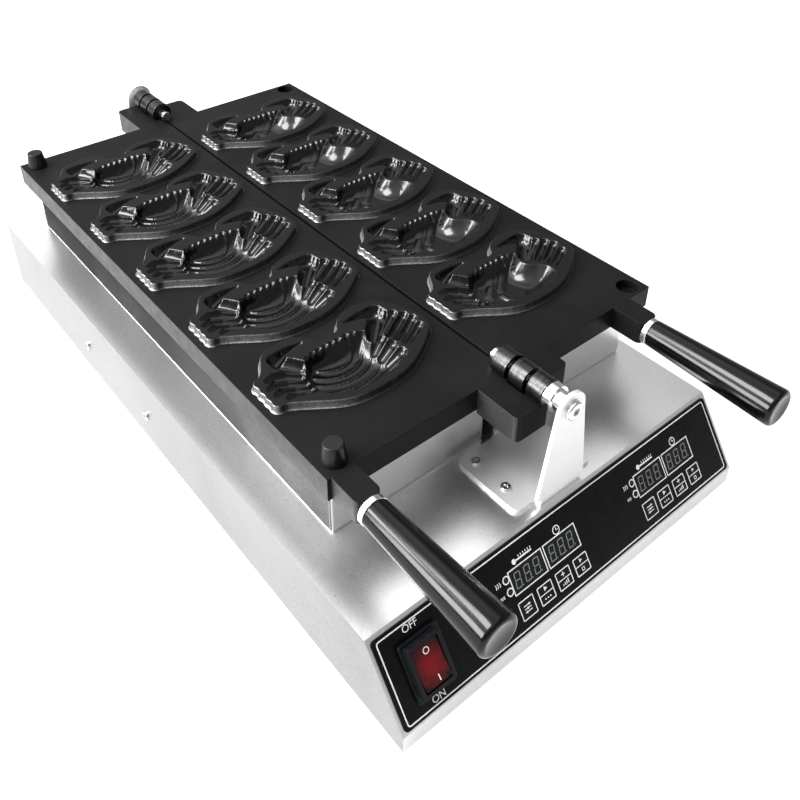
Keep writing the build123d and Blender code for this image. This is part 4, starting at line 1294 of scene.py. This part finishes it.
@dataclass
class Studio:
    """The photograph's view, a white sweep and soft light."""

    camera_place: Triple = (-0.3709, -0.5525, 0.5934)
    camera_turn: Triple = (57.0144, -0.0771, -39.2162)
    lens: float = 40.79
    film: float = 36.0
    shift: tuple[float, float] = (0.0108, -0.2104)
    clip: tuple[float, float] = (0.02, 60.0)
    aim: Triple = (0.0, 0.0, 0.12)
    floor_size: float = 14.0
    floor_glow: float = 0.85
    floor_tone: float = 0.3
    floor_rough: float = 0.9
    floor_specular: float = 0.1
    dim: float = 0.38
    overhead: Glow = Glow((-0.2, 0.3, 0.92), 0.50, 0.88, 1.3)
    rear_left: Glow = Glow((-0.55, 0.58, 0.60), 0.86, 0.99, 1.6)
    patch_scale: float = 2.2
    patch_detail: float = 2.0
    patch_noise: tuple[float, float] = (0.35, 0.65)
    patch_light: tuple[float, float] = (0.7, 1.3)
    boxes: tuple[SoftBox, ...] = (
        SoftBox("left_rear_box", (-1.9, 1.7, 2.0), (0.9, 0.7), 60.0),
        SoftBox("overhead_box", (-1.2, 0.5, 2.35), (1.1, 1.0), 92.0),
        SoftBox("left_panel", (-2.5, 0.7, 1.0), (1.3, 1.0), 110.0),
    )

    def build(self) -> None:
        """Set up the camera, the floor, the world and the lights."""
        bpy.context.scene.view_settings.view_transform = "Standard"
        self._camera()
        self._floor()
        self._world()
        self._lights()
        log.info("studio: camera, floor, world and %d soft boxes", len(self.boxes))

    def _put(self, name: str, data: bpy.types.ID) -> bpy.types.Object:
        """Place an object in the scene.

        Args:
            name: the object's name.
            data: its camera, light or mesh.

        Returns:
            The object.
        """
        made = bpy.data.objects.new(name, data)
        bpy.context.scene.collection.objects.link(made)
        return made

    def _camera(self) -> None:
        """The camera of the photograph."""
        data = bpy.data.cameras.new("camera")
        data.sensor_width = self.film
        data.lens = self.lens
        data.shift_x, data.shift_y = self.shift
        data.clip_start, data.clip_end = self.clip
        camera = self._put("camera", data)
        camera.location = self.camera_place
        camera.rotation_euler = Euler([math.radians(angle) for angle in self.camera_turn])
        bpy.context.scene.camera = camera

    def _floor(self) -> None:
        """A wide plain floor, bright enough to read as white."""
        bm = bmesh.new()
        bmesh.ops.create_grid(bm, x_segments=1, y_segments=1, size=self.floor_size / 2)
        mesh = bpy.data.meshes.new("floor")
        bm.to_mesh(mesh)
        bm.free()
        floor = self._put("floor", mesh)
        paint = Paint("floor_white")
        paint.put(Base_Color=grey(self.floor_tone), Roughness=self.floor_rough,
                  Specular_IOR_Level=self.floor_specular, Emission_Color=grey(1.0),
                  Emission_Strength=self.floor_glow)
        mesh.materials.append(paint.material)

    def _world(self) -> None:
        """Surroundings that are dim at the horizon and bright overhead and behind on the left."""
        world = bpy.data.worlds.new("studio")
        bpy.context.scene.world = world
        world.use_nodes = True
        tree = world.node_tree
        tree.nodes.clear()
        link = tree.links.new
        place = add_node(tree, "ShaderNodeTexCoord").outputs["Generated"]
        total = add_node(tree, "ShaderNodeValue").outputs[0]
        total.default_value = self.dim
        for glow in (self.overhead, self.rear_left):
            across = add_node(tree, "ShaderNodeVectorMath", operation="DOT_PRODUCT")
            across.inputs[1].default_value = Vector(glow.direction).normalized()
            share = add_node(tree, "ShaderNodeMapRange", interpolation_type="SMOOTHSTEP")
            preset(share, From_Min=glow.starts, From_Max=glow.full, To_Max=glow.strength)
            add = add_node(tree, "ShaderNodeMath", operation="ADD")
            link(place, across.inputs[0])
            link(across.outputs["Value"], share.inputs["Value"])
            link(share.outputs[0], add.inputs[0])
            link(total, add.inputs[1])
            total = add.outputs[0]
        clouds = add_node(tree, "ShaderNodeTexNoise")
        preset(clouds, Scale=self.patch_scale, Detail=self.patch_detail)
        patch = add_node(tree, "ShaderNodeMapRange")
        preset(patch, From_Min=self.patch_noise[0], From_Max=self.patch_noise[1],
               To_Min=self.patch_light[0], To_Max=self.patch_light[1])
        strength = add_node(tree, "ShaderNodeMath", operation="MULTIPLY")
        shade = add_node(tree, "ShaderNodeBackground")
        white = add_node(tree, "ShaderNodeBackground")
        for background in (shade, white):
            preset(background, Color=colour4(grey(1.0)))
        path = add_node(tree, "ShaderNodeLightPath")
        mix = add_node(tree, "ShaderNodeMixShader")
        out = add_node(tree, "ShaderNodeOutputWorld")
        for source, target in (
            (place, clouds.inputs["Vector"]),
            (clouds.outputs[0], patch.inputs["Value"]),
            (patch.outputs[0], strength.inputs[0]),
            (total, strength.inputs[1]),
            (strength.outputs[0], shade.inputs["Strength"]),
            (path.outputs["Is Camera Ray"], mix.inputs["Fac"]),
            (shade.outputs[0], mix.inputs[1]),
            (white.outputs[0], mix.inputs[2]),
            (mix.outputs[0], out.inputs["Surface"]),
        ):
            link(source, target)

    def _lights(self) -> None:
        """The soft boxes, all aimed at the machine."""
        for box in self.boxes:
            data = bpy.data.lights.new(box.name, "AREA")
            data.shape = "RECTANGLE"
            data.size, data.size_y = box.size
            data.energy = box.power
            lamp = self._put(box.name, data)
            lamp.location = box.place
            sight = Vector(self.aim) - Vector(box.place)
            lamp.rotation_euler = sight.to_track_quat("-Z", "Y").to_euler()


# Print


@dataclass(frozen=True)
class Bar:
    """A rectangle of a sign, in millimetres from the sign's place: x to the right and s down the slope.

    It is turned by some degrees, and line is its outline's width, or 0 for a filled one.
    """

    x: float
    s: float
    width: float
    height: float
    turn: float = 0.0
    line: float = 0.0


@dataclass(frozen=True)
class Dot:
    """A disc or ring of a sign, or an arrow head with three sides, in millimetres from the sign's place."""

    x: float
    s: float
    radius: float
    line: float = 0.0
    sides: int = 32


Sign = tuple[Bar | Dot, ...]
TRIO = (-1, 0, 1)
THERMOMETER: Sign = (
    Dot(-8.0, 0.0, 1.9), Bar(1.0, 0.0, 16.0, 1.2),
    *(Bar(-3.0 + 2.3 * step, -1.9, 0.6, 1.5) for step in range(6)))
CLOCK: Sign = (Dot(0.0, 0.0, 3.4, line=0.7), Bar(0.0, -0.9, 0.6, 2.2), Bar(0.9, 0.0, 1.5, 0.6))
HEAT: Sign = tuple(
    Bar(1.8 * step, 0.8 * half, 0.6, 1.9, turn=-18.0 * half) for step in TRIO for half in (-1, 1))
TWO_BARS: Sign = (Bar(0.0, 0.0, 4.2, 0.5), Bar(0.0, 1.2, 4.2, 0.5))
SLIDERS: Sign = tuple(
    part for step in TRIO
    for part in (Bar(0.0, 2.2 * step, 6.4, 0.6), Dot(-1.8 * step, 2.2 * step, 0.85, sides=16)))
ARROW: Sign = (Dot(0.0, 0.0, 2.0, sides=3),)
THREE_DOTS: Sign = tuple(Dot(2.4 * step, 0.0, 0.6, sides=14) for step in TRIO)
PLUS: Sign = (Bar(0.0, 0.0, 3.6, 0.6), Bar(0.0, -1.05, 0.6, 1.5), Bar(0.0, 1.05, 0.6, 1.5))
STEPS: Sign = tuple(Bar(1.7 * step, -0.35 * step, 0.8, 2.25 + 0.7 * step) for step in (-1.5, -0.5, 0.5, 1.5))
START: Sign = (Dot(-0.2, 0.0, 1.7, line=0.45, sides=3),)
STOP: Sign = (Bar(0.0, 0.0, 2.7, 2.7, line=0.45),)
OFF_RING: Sign = (Dot(0.0, 0.0, 2.4, line=0.65),)
ON_BAR: Sign = (Bar(0.0, 0.0, 0.7, 4.0),)


class Icon(Enum):
    """What is printed on a key, by the key's number from left to right."""

    MENU = 1
    NEXT = 2
    MORE = 3
    RUN = 4


SPLIT_SIGNS: dict[Icon, tuple[Sign, Sign]] = {
    Icon.NEXT: (ARROW, THREE_DOTS),
    Icon.MORE: (PLUS, STEPS),
    Icon.RUN: (START, STOP),
}


@dataclass(frozen=True)
class Figure:
    """An unlit seven-segment figure: gap, corner cut and point are shares of its line's width."""

    width: float = 5.6 * MM
    height: float = 11.4 * MM
    line: float = 0.75 * MM
    slant: float = 0.12
    gap: float = 0.18
    cut: float = 0.42
    point: float = 0.6


class Marks:
    """Thin flat marks gathered into one mesh, in a panel's own plane: x to the right and s down the slope."""

    def __init__(self) -> None:
        """Start with nothing drawn."""
        self.bm = bmesh.new()

    def _take(self, bm: Mesh) -> None:
        """Add one mark's mesh to the others.

        Args:
            bm: the mark; it is freed.
        """
        mesh = bpy.data.meshes.new("mark")
        bm.to_mesh(mesh)
        bm.free()
        self.bm.from_mesh(mesh)
        bpy.data.meshes.remove(mesh)

    def _hollow(self, bm: Mesh, line: float) -> None:
        """Leave only a line along the border of a mark.

        Args:
            bm: the mark, a single face.
            line: the line's width.
        """
        bm.faces.ensure_lookup_table()
        face = bm.faces[0]
        bmesh.ops.inset_region(bm, faces=[face], thickness=line, use_boundary=True, use_even_offset=True)
        bmesh.ops.delete(bm, geom=[face], context="FACES")

    def block(self, x: float, s: float, width: float, height: float, corner: float = 0.0, line: float = 0.0,
              turn: float = 0.0, segments: int = 5) -> None:
        """Draw a rectangle.

        Args:
            x: its middle, to the right.
            s: its middle, down the slope.
            width: its size along x.
            height: its size along s.
            corner: its corners' radius.
            line: the width of its outline, or 0 for a filled one.
            turn: degrees that it is turned by.
            segments: faces round each corner.
        """
        bm = bmesh.new()
        place = Matrix.Translation((x, -s, 0.0)) @ Matrix.Rotation(math.radians(turn), 4, "Z")
        bmesh.ops.create_grid(bm, x_segments=1, y_segments=1, size=0.5,
                              matrix=place @ Matrix.Diagonal((width, height, 1.0, 1.0)))
        if corner:
            bmesh.ops.bevel(bm, geom=list(bm.verts), offset=corner, offset_type="OFFSET", affect="VERTICES",
                            segments=segments, profile=0.5, material=-1)
        if line:
            self._hollow(bm, line)
        self._take(bm)

    def disc(self, x: float, s: float, radius: float, line: float = 0.0, sides: int = 32) -> None:
        """Draw a disc, a ring or, with three sides, an arrow head that points right.

        Args:
            x: its middle, to the right.
            s: its middle, down the slope.
            radius: its radius.
            line: the width of its outline, or 0 for a filled one.
            sides: corners of its outline.
        """
        bm = bmesh.new()
        place = Matrix.Translation((x, -s, 0.0))
        if sides == 3:
            place = place @ Matrix.Rotation(math.radians(-90.0), 4, "Z")
        bmesh.ops.create_circle(bm, cap_ends=True, radius=radius, segments=sides, matrix=place)
        if line:
            self._hollow(bm, line)
        self._take(bm)

    def sign(self, parts: Sign, x: float, s: float) -> None:
        """Draw a sign.

        Args:
            parts: its bars and dots.
            x: its place, to the right.
            s: its place, down the slope.
        """
        for part in parts:
            place = (x + part.x * MM, s + part.s * MM)
            if isinstance(part, Bar):
                self.block(*place, part.width * MM, part.height * MM, line=part.line * MM, turn=part.turn)
            else:
                self.disc(*place, part.radius * MM, line=part.line * MM, sides=part.sides)

    def word(self, text: str, x: float, s: float, size: float) -> None:
        """Draw a switch's ON or OFF, centred.

        Args:
            text: the word.
            x: its middle, to the right.
            s: its middle, down the slope.
            size: the letters' size.
        """
        curve = bpy.data.curves.new(text, "FONT")
        curve.body = text
        curve.size = size
        curve.align_x, curve.align_y = "CENTER", "CENTER"
        letters = bpy.data.objects.new(text, curve)
        mesh = bpy.data.meshes.new_from_object(letters)
        bm = bmesh.new()
        bm.from_mesh(mesh)
        bmesh.ops.translate(bm, verts=bm.verts, vec=(x, -s, 0.0))
        self._take(bm)
        for store, item in ((bpy.data.objects, letters), (bpy.data.curves, curve), (bpy.data.meshes, mesh)):
            store.remove(item)

    def digit(self, x: float, s: float, figure: Figure) -> None:
        """Draw an unlit seven-segment figure and its point.

        Args:
            x: its middle, to the right.
            s: its middle, down the slope.
            figure: its sizes.
        """
        drawn = Marks()
        line, gap, cut = figure.line, figure.gap * figure.line, figure.cut * figure.line
        side, end = (figure.width - line) / 2, (figure.height - line) / 2
        for down in (-end, 0.0, end):
            drawn.block(0.0, down, 2 * (side - gap), line, corner=cut, segments=1)
        for down in (-figure.height / 4, figure.height / 4):
            for across in (-side, side):
                drawn.block(across, down, line, end - 2 * gap, corner=cut, segments=1)
        drawn.disc(figure.width / 2 + line, end, figure.point * line, sides=12)
        lean = Matrix.Identity(4)
        lean[0][1] = figure.slant
        place = Matrix.Translation((x, -s, 0.0)) @ lean
        bmesh.ops.transform(drawn.bm, matrix=place, verts=drawn.bm.verts)
        self._take(drawn.bm)

    def finish(self, place: Matrix, thickness: float, name: str, body: str,
               material: Material) -> None:
        """Thicken the marks and lay them in place.

        Args:
            place: the matrix of their plane.
            thickness: how far they stand out of it.
            name: the piece's name.
            body: the body that it moves with.
            material: its finish.
        """
        bm = self.bm
        made = bmesh.ops.extrude_face_region(bm, geom=list(bm.faces))["geom"]
        raised = [item for item in made if isinstance(item, bmesh.types.BMVert)]
        bmesh.ops.translate(bm, verts=raised, vec=(0.0, 0.0, thickness))
        bmesh.ops.recalc_face_normals(bm, faces=bm.faces)
        bmesh.ops.transform(bm, matrix=place, verts=bm.verts)
        close_mesh(bm, name, body, material, even=False)


@dataclass(frozen=True)
class Reach:
    """How far a node reaches on the slope: x to the right, s down the slope and height above the steel."""

    left: float
    right: float
    top: float
    bottom: float
    height: float

    @property
    def middle(self) -> tuple[float, float]:
        """The middle's x and s."""
        return (self.left + self.right) / 2, (self.top + self.bottom) / 2

    @property
    def size(self) -> tuple[float, float]:
        """The sizes along x and s."""
        return self.right - self.left, self.bottom - self.top


@dataclass
class ControlPanel:
    """The printed overlay, the displays, the keys and the power switch."""

    places: Places
    finishes: Finishes
    thickness: float = 0.05 * MM
    frame_line: float = 0.9 * MM
    frame_margin: tuple[float, float] = (3.0 * MM, 1.9 * MM)
    frame_corner: float = 2.5 * MM
    key_line: float = 0.75 * MM
    key_margin: float = 0.15 * MM
    key_corner: float = 1.0 * MM
    key_divider: float = 0.6 * MM
    display_size: tuple[float, float] = (31.4 * MM, 16.5 * MM)
    display_line: float = 0.8 * MM
    sign_above: float = 4.2 * MM
    figure: Figure = Figure()
    digit_pitch: float = 9.2 * MM
    digit_back: float = 0.6 * MM
    lamp_radius: float = 3.05 * MM
    lamp_line: float = 0.85 * MM
    lamp_rows: float = 30.0 * MM
    lamp_sign: float = 7.5 * MM
    word_size: float = 7.0 * MM
    off_word: tuple[float, float] = (-1.5 * MM, -6.2 * MM)
    on_word: tuple[float, float] = (-0.3 * MM, 4.6 * MM)
    ray_start: float = 30.0 * MM
    rocker_signs: tuple[tuple[str, Sign, float, float], ...] = (
        ("off_ring", OFF_RING, -141.6 * MM, 26.5 * MM),
        ("on_bar", ON_BAR, -140.4 * MM, 45.4 * MM),
    )

    def build(self) -> None:
        """Print everything on the slope."""
        self._overlay_print()
        self._digits()
        self._key_prints()
        self._rocker_marks()
        log.info("control panel: print, digits, key marks and rocker marks")

    def _reach(self, node: str) -> Reach:
        """How far a node reaches on the slope.

        Args:
            node: the CAD node.

        Returns:
            Its reach.
        """
        low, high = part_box(node)
        points = [vert.co - self.places.edge for vert in frame["nodes"][node].data.vertices]
        along = [point.dot(self.places.down) for point in points]
        height = max(point.dot(self.places.out) for point in points)
        return Reach(low.x, high.x, min(along), max(along), height)

    def _middles(self, node: str) -> list[tuple[float, float]]:
        """The middle of each loose solid of a node.

        Args:
            node: the CAD node.

        Returns:
            The x and s of each, from left to right.
        """
        bm = open_copy(node)
        left = set(bm.verts)
        found = []
        while left:
            reached = {left.pop()}
            border = set(reached)
            while border:
                border = {other for vert in border for link in vert.link_edges for other in link.verts} & left
                left -= border
                reached |= border
            xs = [vert.co.x for vert in reached]
            ss = [(vert.co - self.places.edge).dot(self.places.down) for vert in reached]
            found.append(((min(xs) + max(xs)) / 2, (min(ss) + max(ss)) / 2))
        bm.free()
        return sorted(found)

    def _lay(self, marks: Marks, height: float, name: str, body: str, material: Material) -> None:
        """Lay marks on the slope.

        Args:
            marks: the marks.
            height: how far above the steel they lie.
            name: the piece's name.
            body: the body that it moves with.
            material: its finish.
        """
        marks.finish(self.places.on_panel(0.0, 0.0, height), self.thickness, name, body, material)

    def _overlay_print(self) -> None:
        """The frame line, the displays' frames, the lamps' rings, the words and the small signs."""
        overlay = self._reach("panel_overlay")
        marks = Marks()
        width, height = (size - 2 * margin for size, margin in zip(overlay.size, self.frame_margin))
        marks.block(*overlay.middle, width, height, corner=self.frame_corner, line=self.frame_line)
        for number, (x, s) in enumerate(self._middles("display_windows")):
            width, height = self.display_size
            grow = 2 * self.display_line
            marks.block(x, s, width + grow, height + grow, line=self.display_line)
            marks.sign(CLOCK if number % 2 else THERMOMETER, x, s - height / 2 - self.sign_above)
        for x, s in self._middles("indicator_lenses"):
            marks.disc(x, s, self.lamp_radius, line=self.lamp_line)
            marks.sign(HEAT if s < self.lamp_rows else TWO_BARS, x - self.lamp_sign, s)
        switch = self._reach("switch_housing")
        middle = switch.middle[0]
        marks.word("OFF", middle + self.off_word[0], switch.top + self.off_word[1], self.word_size)
        marks.word("ON", middle + self.on_word[0], switch.bottom + self.on_word[1], self.word_size)
        self._lay(marks, overlay.height, "overlay_print", "base", self.finishes.print)

    def _digits(self) -> None:
        """Three unlit figures in each display."""
        marks = Marks()
        for x, s in self._middles("display_windows"):
            for step in TRIO:
                marks.digit(x + step * self.digit_pitch - self.digit_back, s, self.figure)
        height = self._reach("display_windows").height
        self._lay(marks, height, "display_digits", "base", self.finishes.digit)

    def _key_prints(self) -> None:
        """Each key's outline and sign, riding on the key."""
        for side in Side:
            for icon in Icon:
                node = f"{side.value}_key_{icon.value}"
                key = self._reach(node)
                x, s = key.middle
                width, height = (size - 2 * self.key_margin for size in key.size)
                marks = Marks()
                marks.block(x, s, width, height, corner=self.key_corner, line=self.key_line)
                if icon is Icon.MENU:
                    marks.sign(SLIDERS, x, s)
                else:
                    upper, lower = SPLIT_SIGNS[icon]
                    marks.block(x, s, width - 2 * self.key_line, self.key_divider)
                    marks.sign(upper, x, s - height / 4)
                    marks.sign(lower, x, s + height / 4)
                self._lay(marks, key.height, f"{node}_print", node, self.finishes.print)

    def _rocker_marks(self) -> None:
        """The ring and the bar that are inlaid on the rocker's two slopes."""
        bm = open_copy("rocker_button")
        tree = BVHTree.FromBMesh(bm)
        bm.free()
        for name, sign, x, s in self.rocker_signs:
            above = self.places.on_panel(x, s, self.ray_start).translation
            spot, normal, _, _ = tree.ray_cast(above, -self.places.out)
            marks = Marks()
            marks.sign(sign, 0.0, 0.0)
            place = turned(spot, RIGHTWARDS, normal.cross(RIGHTWARDS), normal)
            marks.finish(place, self.thickness, name, "power_rocker", self.finishes.print)


# Sheet steel, small parts and grips


@dataclass
class Housing:
    """The sheet steel: base cover, panels, heater boxes and hinge brackets, each with softened edges."""

    finishes: Finishes
    cover_edge: float = 0.7 * MM
    panel_edge: float = 0.4 * MM
    thin_edge: float = 0.35 * MM

    def build(self) -> None:
        """Round the sheets' edges; give the sides that face left and right, and the whole rear panel, darker
        copies of the steel as painted shade.
        """
        look = self.finishes
        for node, width, material, left, right in (
            ("base_cover", self.cover_edge, look.deck, look.wall, look.wall),
            ("front_panel", self.panel_edge, look.band, look.wall, look.wall),
            ("rear_panel", self.panel_edge, look.wall, look.wall, look.wall),
            ("left_heater_box", self.thin_edge, look.box, look.shaded_box_flank, look.wall),
            ("right_heater_box", self.thin_edge, look.box, look.shaded_box_flank, look.wall),
            ("front_hinge_bracket", self.thin_edge, look.bracket, look.bracket, look.bracket),
            ("rear_hinge_bracket", self.thin_edge, look.bracket, look.bracket, look.bracket),
        ):
            piece = refined(node, "base", material, width)
            # Painted shade: darker steel on the faces that look left and right.
            face_finish(piece, left, LEFTWARDS)
            face_finish(piece, right, RIGHTWARDS)
        log.info("housing: cover, panels, heater boxes and brackets")


@dataclass
class MouldedParts:
    """The small parts whose rounded edges show: switch, overlay, guide pins and rocker."""

    finishes: Finishes
    switch_edge: float = 0.5 * MM
    overlay_edge: float = 0.2 * MM
    pin_edge: float = 0.8 * MM
    rocker_edge: float = 1.3 * MM
    fine: int = 4

    def build(self) -> None:
        """Round the edges of each."""
        look = self.finishes
        refined("switch_housing", "base", look.boot, self.switch_edge)
        refined("panel_overlay", "base", look.panel, self.overlay_edge)
        refined("guide_pins", "left_plate", look.pin, self.pin_edge, self.fine)
        refined("rocker_button", "power_rocker", look.rocker, self.rocker_edge, self.fine)
        log.info("small parts: switch, overlay, guide pins and rocker")


@dataclass
class Grip:
    """A tapered bakelite grip with a dished end."""

    side: Side
    finishes: Finishes
    start_radius: float = 10.8 * MM
    end_radius: float = 14.8 * MM
    start_chamfer: float = 0.8 * MM
    end_round: float = 3.2 * MM
    dish: float = 1.3 * MM
    taper_places: tuple[float, ...] = (0.25, 0.5, 0.75, 0.92)
    dish_places: tuple[float, ...] = (0.9, 0.75, 0.55, 0.3, 0.0)
    round_steps: int = 7
    steps: int = 96

    def build(self) -> None:
        """Spin the grip and put it in place of its node."""
        node = f"{self.side.value}_handle_grip"
        low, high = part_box(node)
        centre = Vector(((low.x + high.x) / 2, high.y, (low.z + high.z) / 2))
        bm = lathe(self._profile(high.y - low.y), -REARWARDS, centre, self.steps)
        piece = close_mesh(bm, f"{self.side.value}_grip", f"{self.side.value}_plate",
                           self.finishes.grip, even=False)
        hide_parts(node)
        log.info("%s grip", self.side.value)

    def _profile(self, length: float) -> list[tuple[float, float]]:
        """The grip's outline.

        Args:
            length: the grip's length.

        Returns:
            Distance from the collar's end and radius of each point, from the axis back to the axis.
        """
        taper = self.end_radius - self.start_radius
        straight = length - self.end_round
        flat = self.end_radius - self.end_round
        profile = [(0.0, 0.0), (0.0, self.start_radius - self.start_chamfer),
                   (self.start_chamfer, self.start_radius)]
        profile += [(straight * part, self.start_radius + taper * part) for part in self.taper_places]
        for step in range(self.round_steps + 1):
            angle = math.radians(90.0 * step / self.round_steps)
            profile.append((straight + self.end_round * math.sin(angle),
                            self.end_radius - self.end_round * (1.0 - math.cos(angle))))
        return profile + [(length - self.dish * (1.0 - part**2), flat * part) for part in self.dish_places]


@dataclass
class Fittings:
    """The nodes that are shown as they are, and only need a finish."""

    finishes: Finishes

    def build(self) -> None:
        """Dress them."""
        look = self.finishes
        for material, nodes in (
            (look.deck, ("bottom_tray",)),
            (look.screw, ("side_screws", "front_bracket_screws", "rear_bracket_screws", "foot_screws",
                          "heater_box_screws", "board_standoffs", "power_board_posts", "thermostat_probes")),
            (look.chrome, ("front_hinge_bolt", "rear_hinge_bolt", "front_hinge_bush", "rear_hinge_bush",
                           "left_handle_collar", "right_handle_collar", "left_handle_rod",
                           "right_handle_rod")),
            (look.lens, ("display_windows",)),
            (look.lamp, ("indicator_lenses",)),
            (look.rubber, ("rubber_feet",)),
            (look.board, ("left_control_board", "right_control_board", "power_board")),
            (look.inner, ("display_modules", "indicator_lamps", "board_switches", "relays",
                          "supply_terminals", "cord_gland", "left_key_guide", "right_key_guide")),
            (look.ceramic, ("left_insulation_board", "right_insulation_board")),
            (look.element, ("left_heating_elements", "right_heating_elements", "left_element_supports",
                            "right_element_supports")),
            (look.key, tuple(f"{side.value}_key_{icon.value}" for side in Side for icon in Icon)),
        ):
            dress(material, nodes)
            log.info("finish %s: %s", material.name, ", ".join(nodes))


def main() -> None:
    """Build every piece and report it."""
    logging.basicConfig(level=logging.INFO, format="%(message)s")
    finishes = Finishes()
    places = Places()
    Studio().build()
    for side in Side:
        MouldPlate(side, places, finishes).build()
    ControlPanel(places, finishes).build()
    Housing(finishes).build()
    MouldedParts(finishes).build()
    for side in Side:
        Grip(side, finishes).build()
    Fittings(finishes).build()


if __name__ == "__main__":
    main()
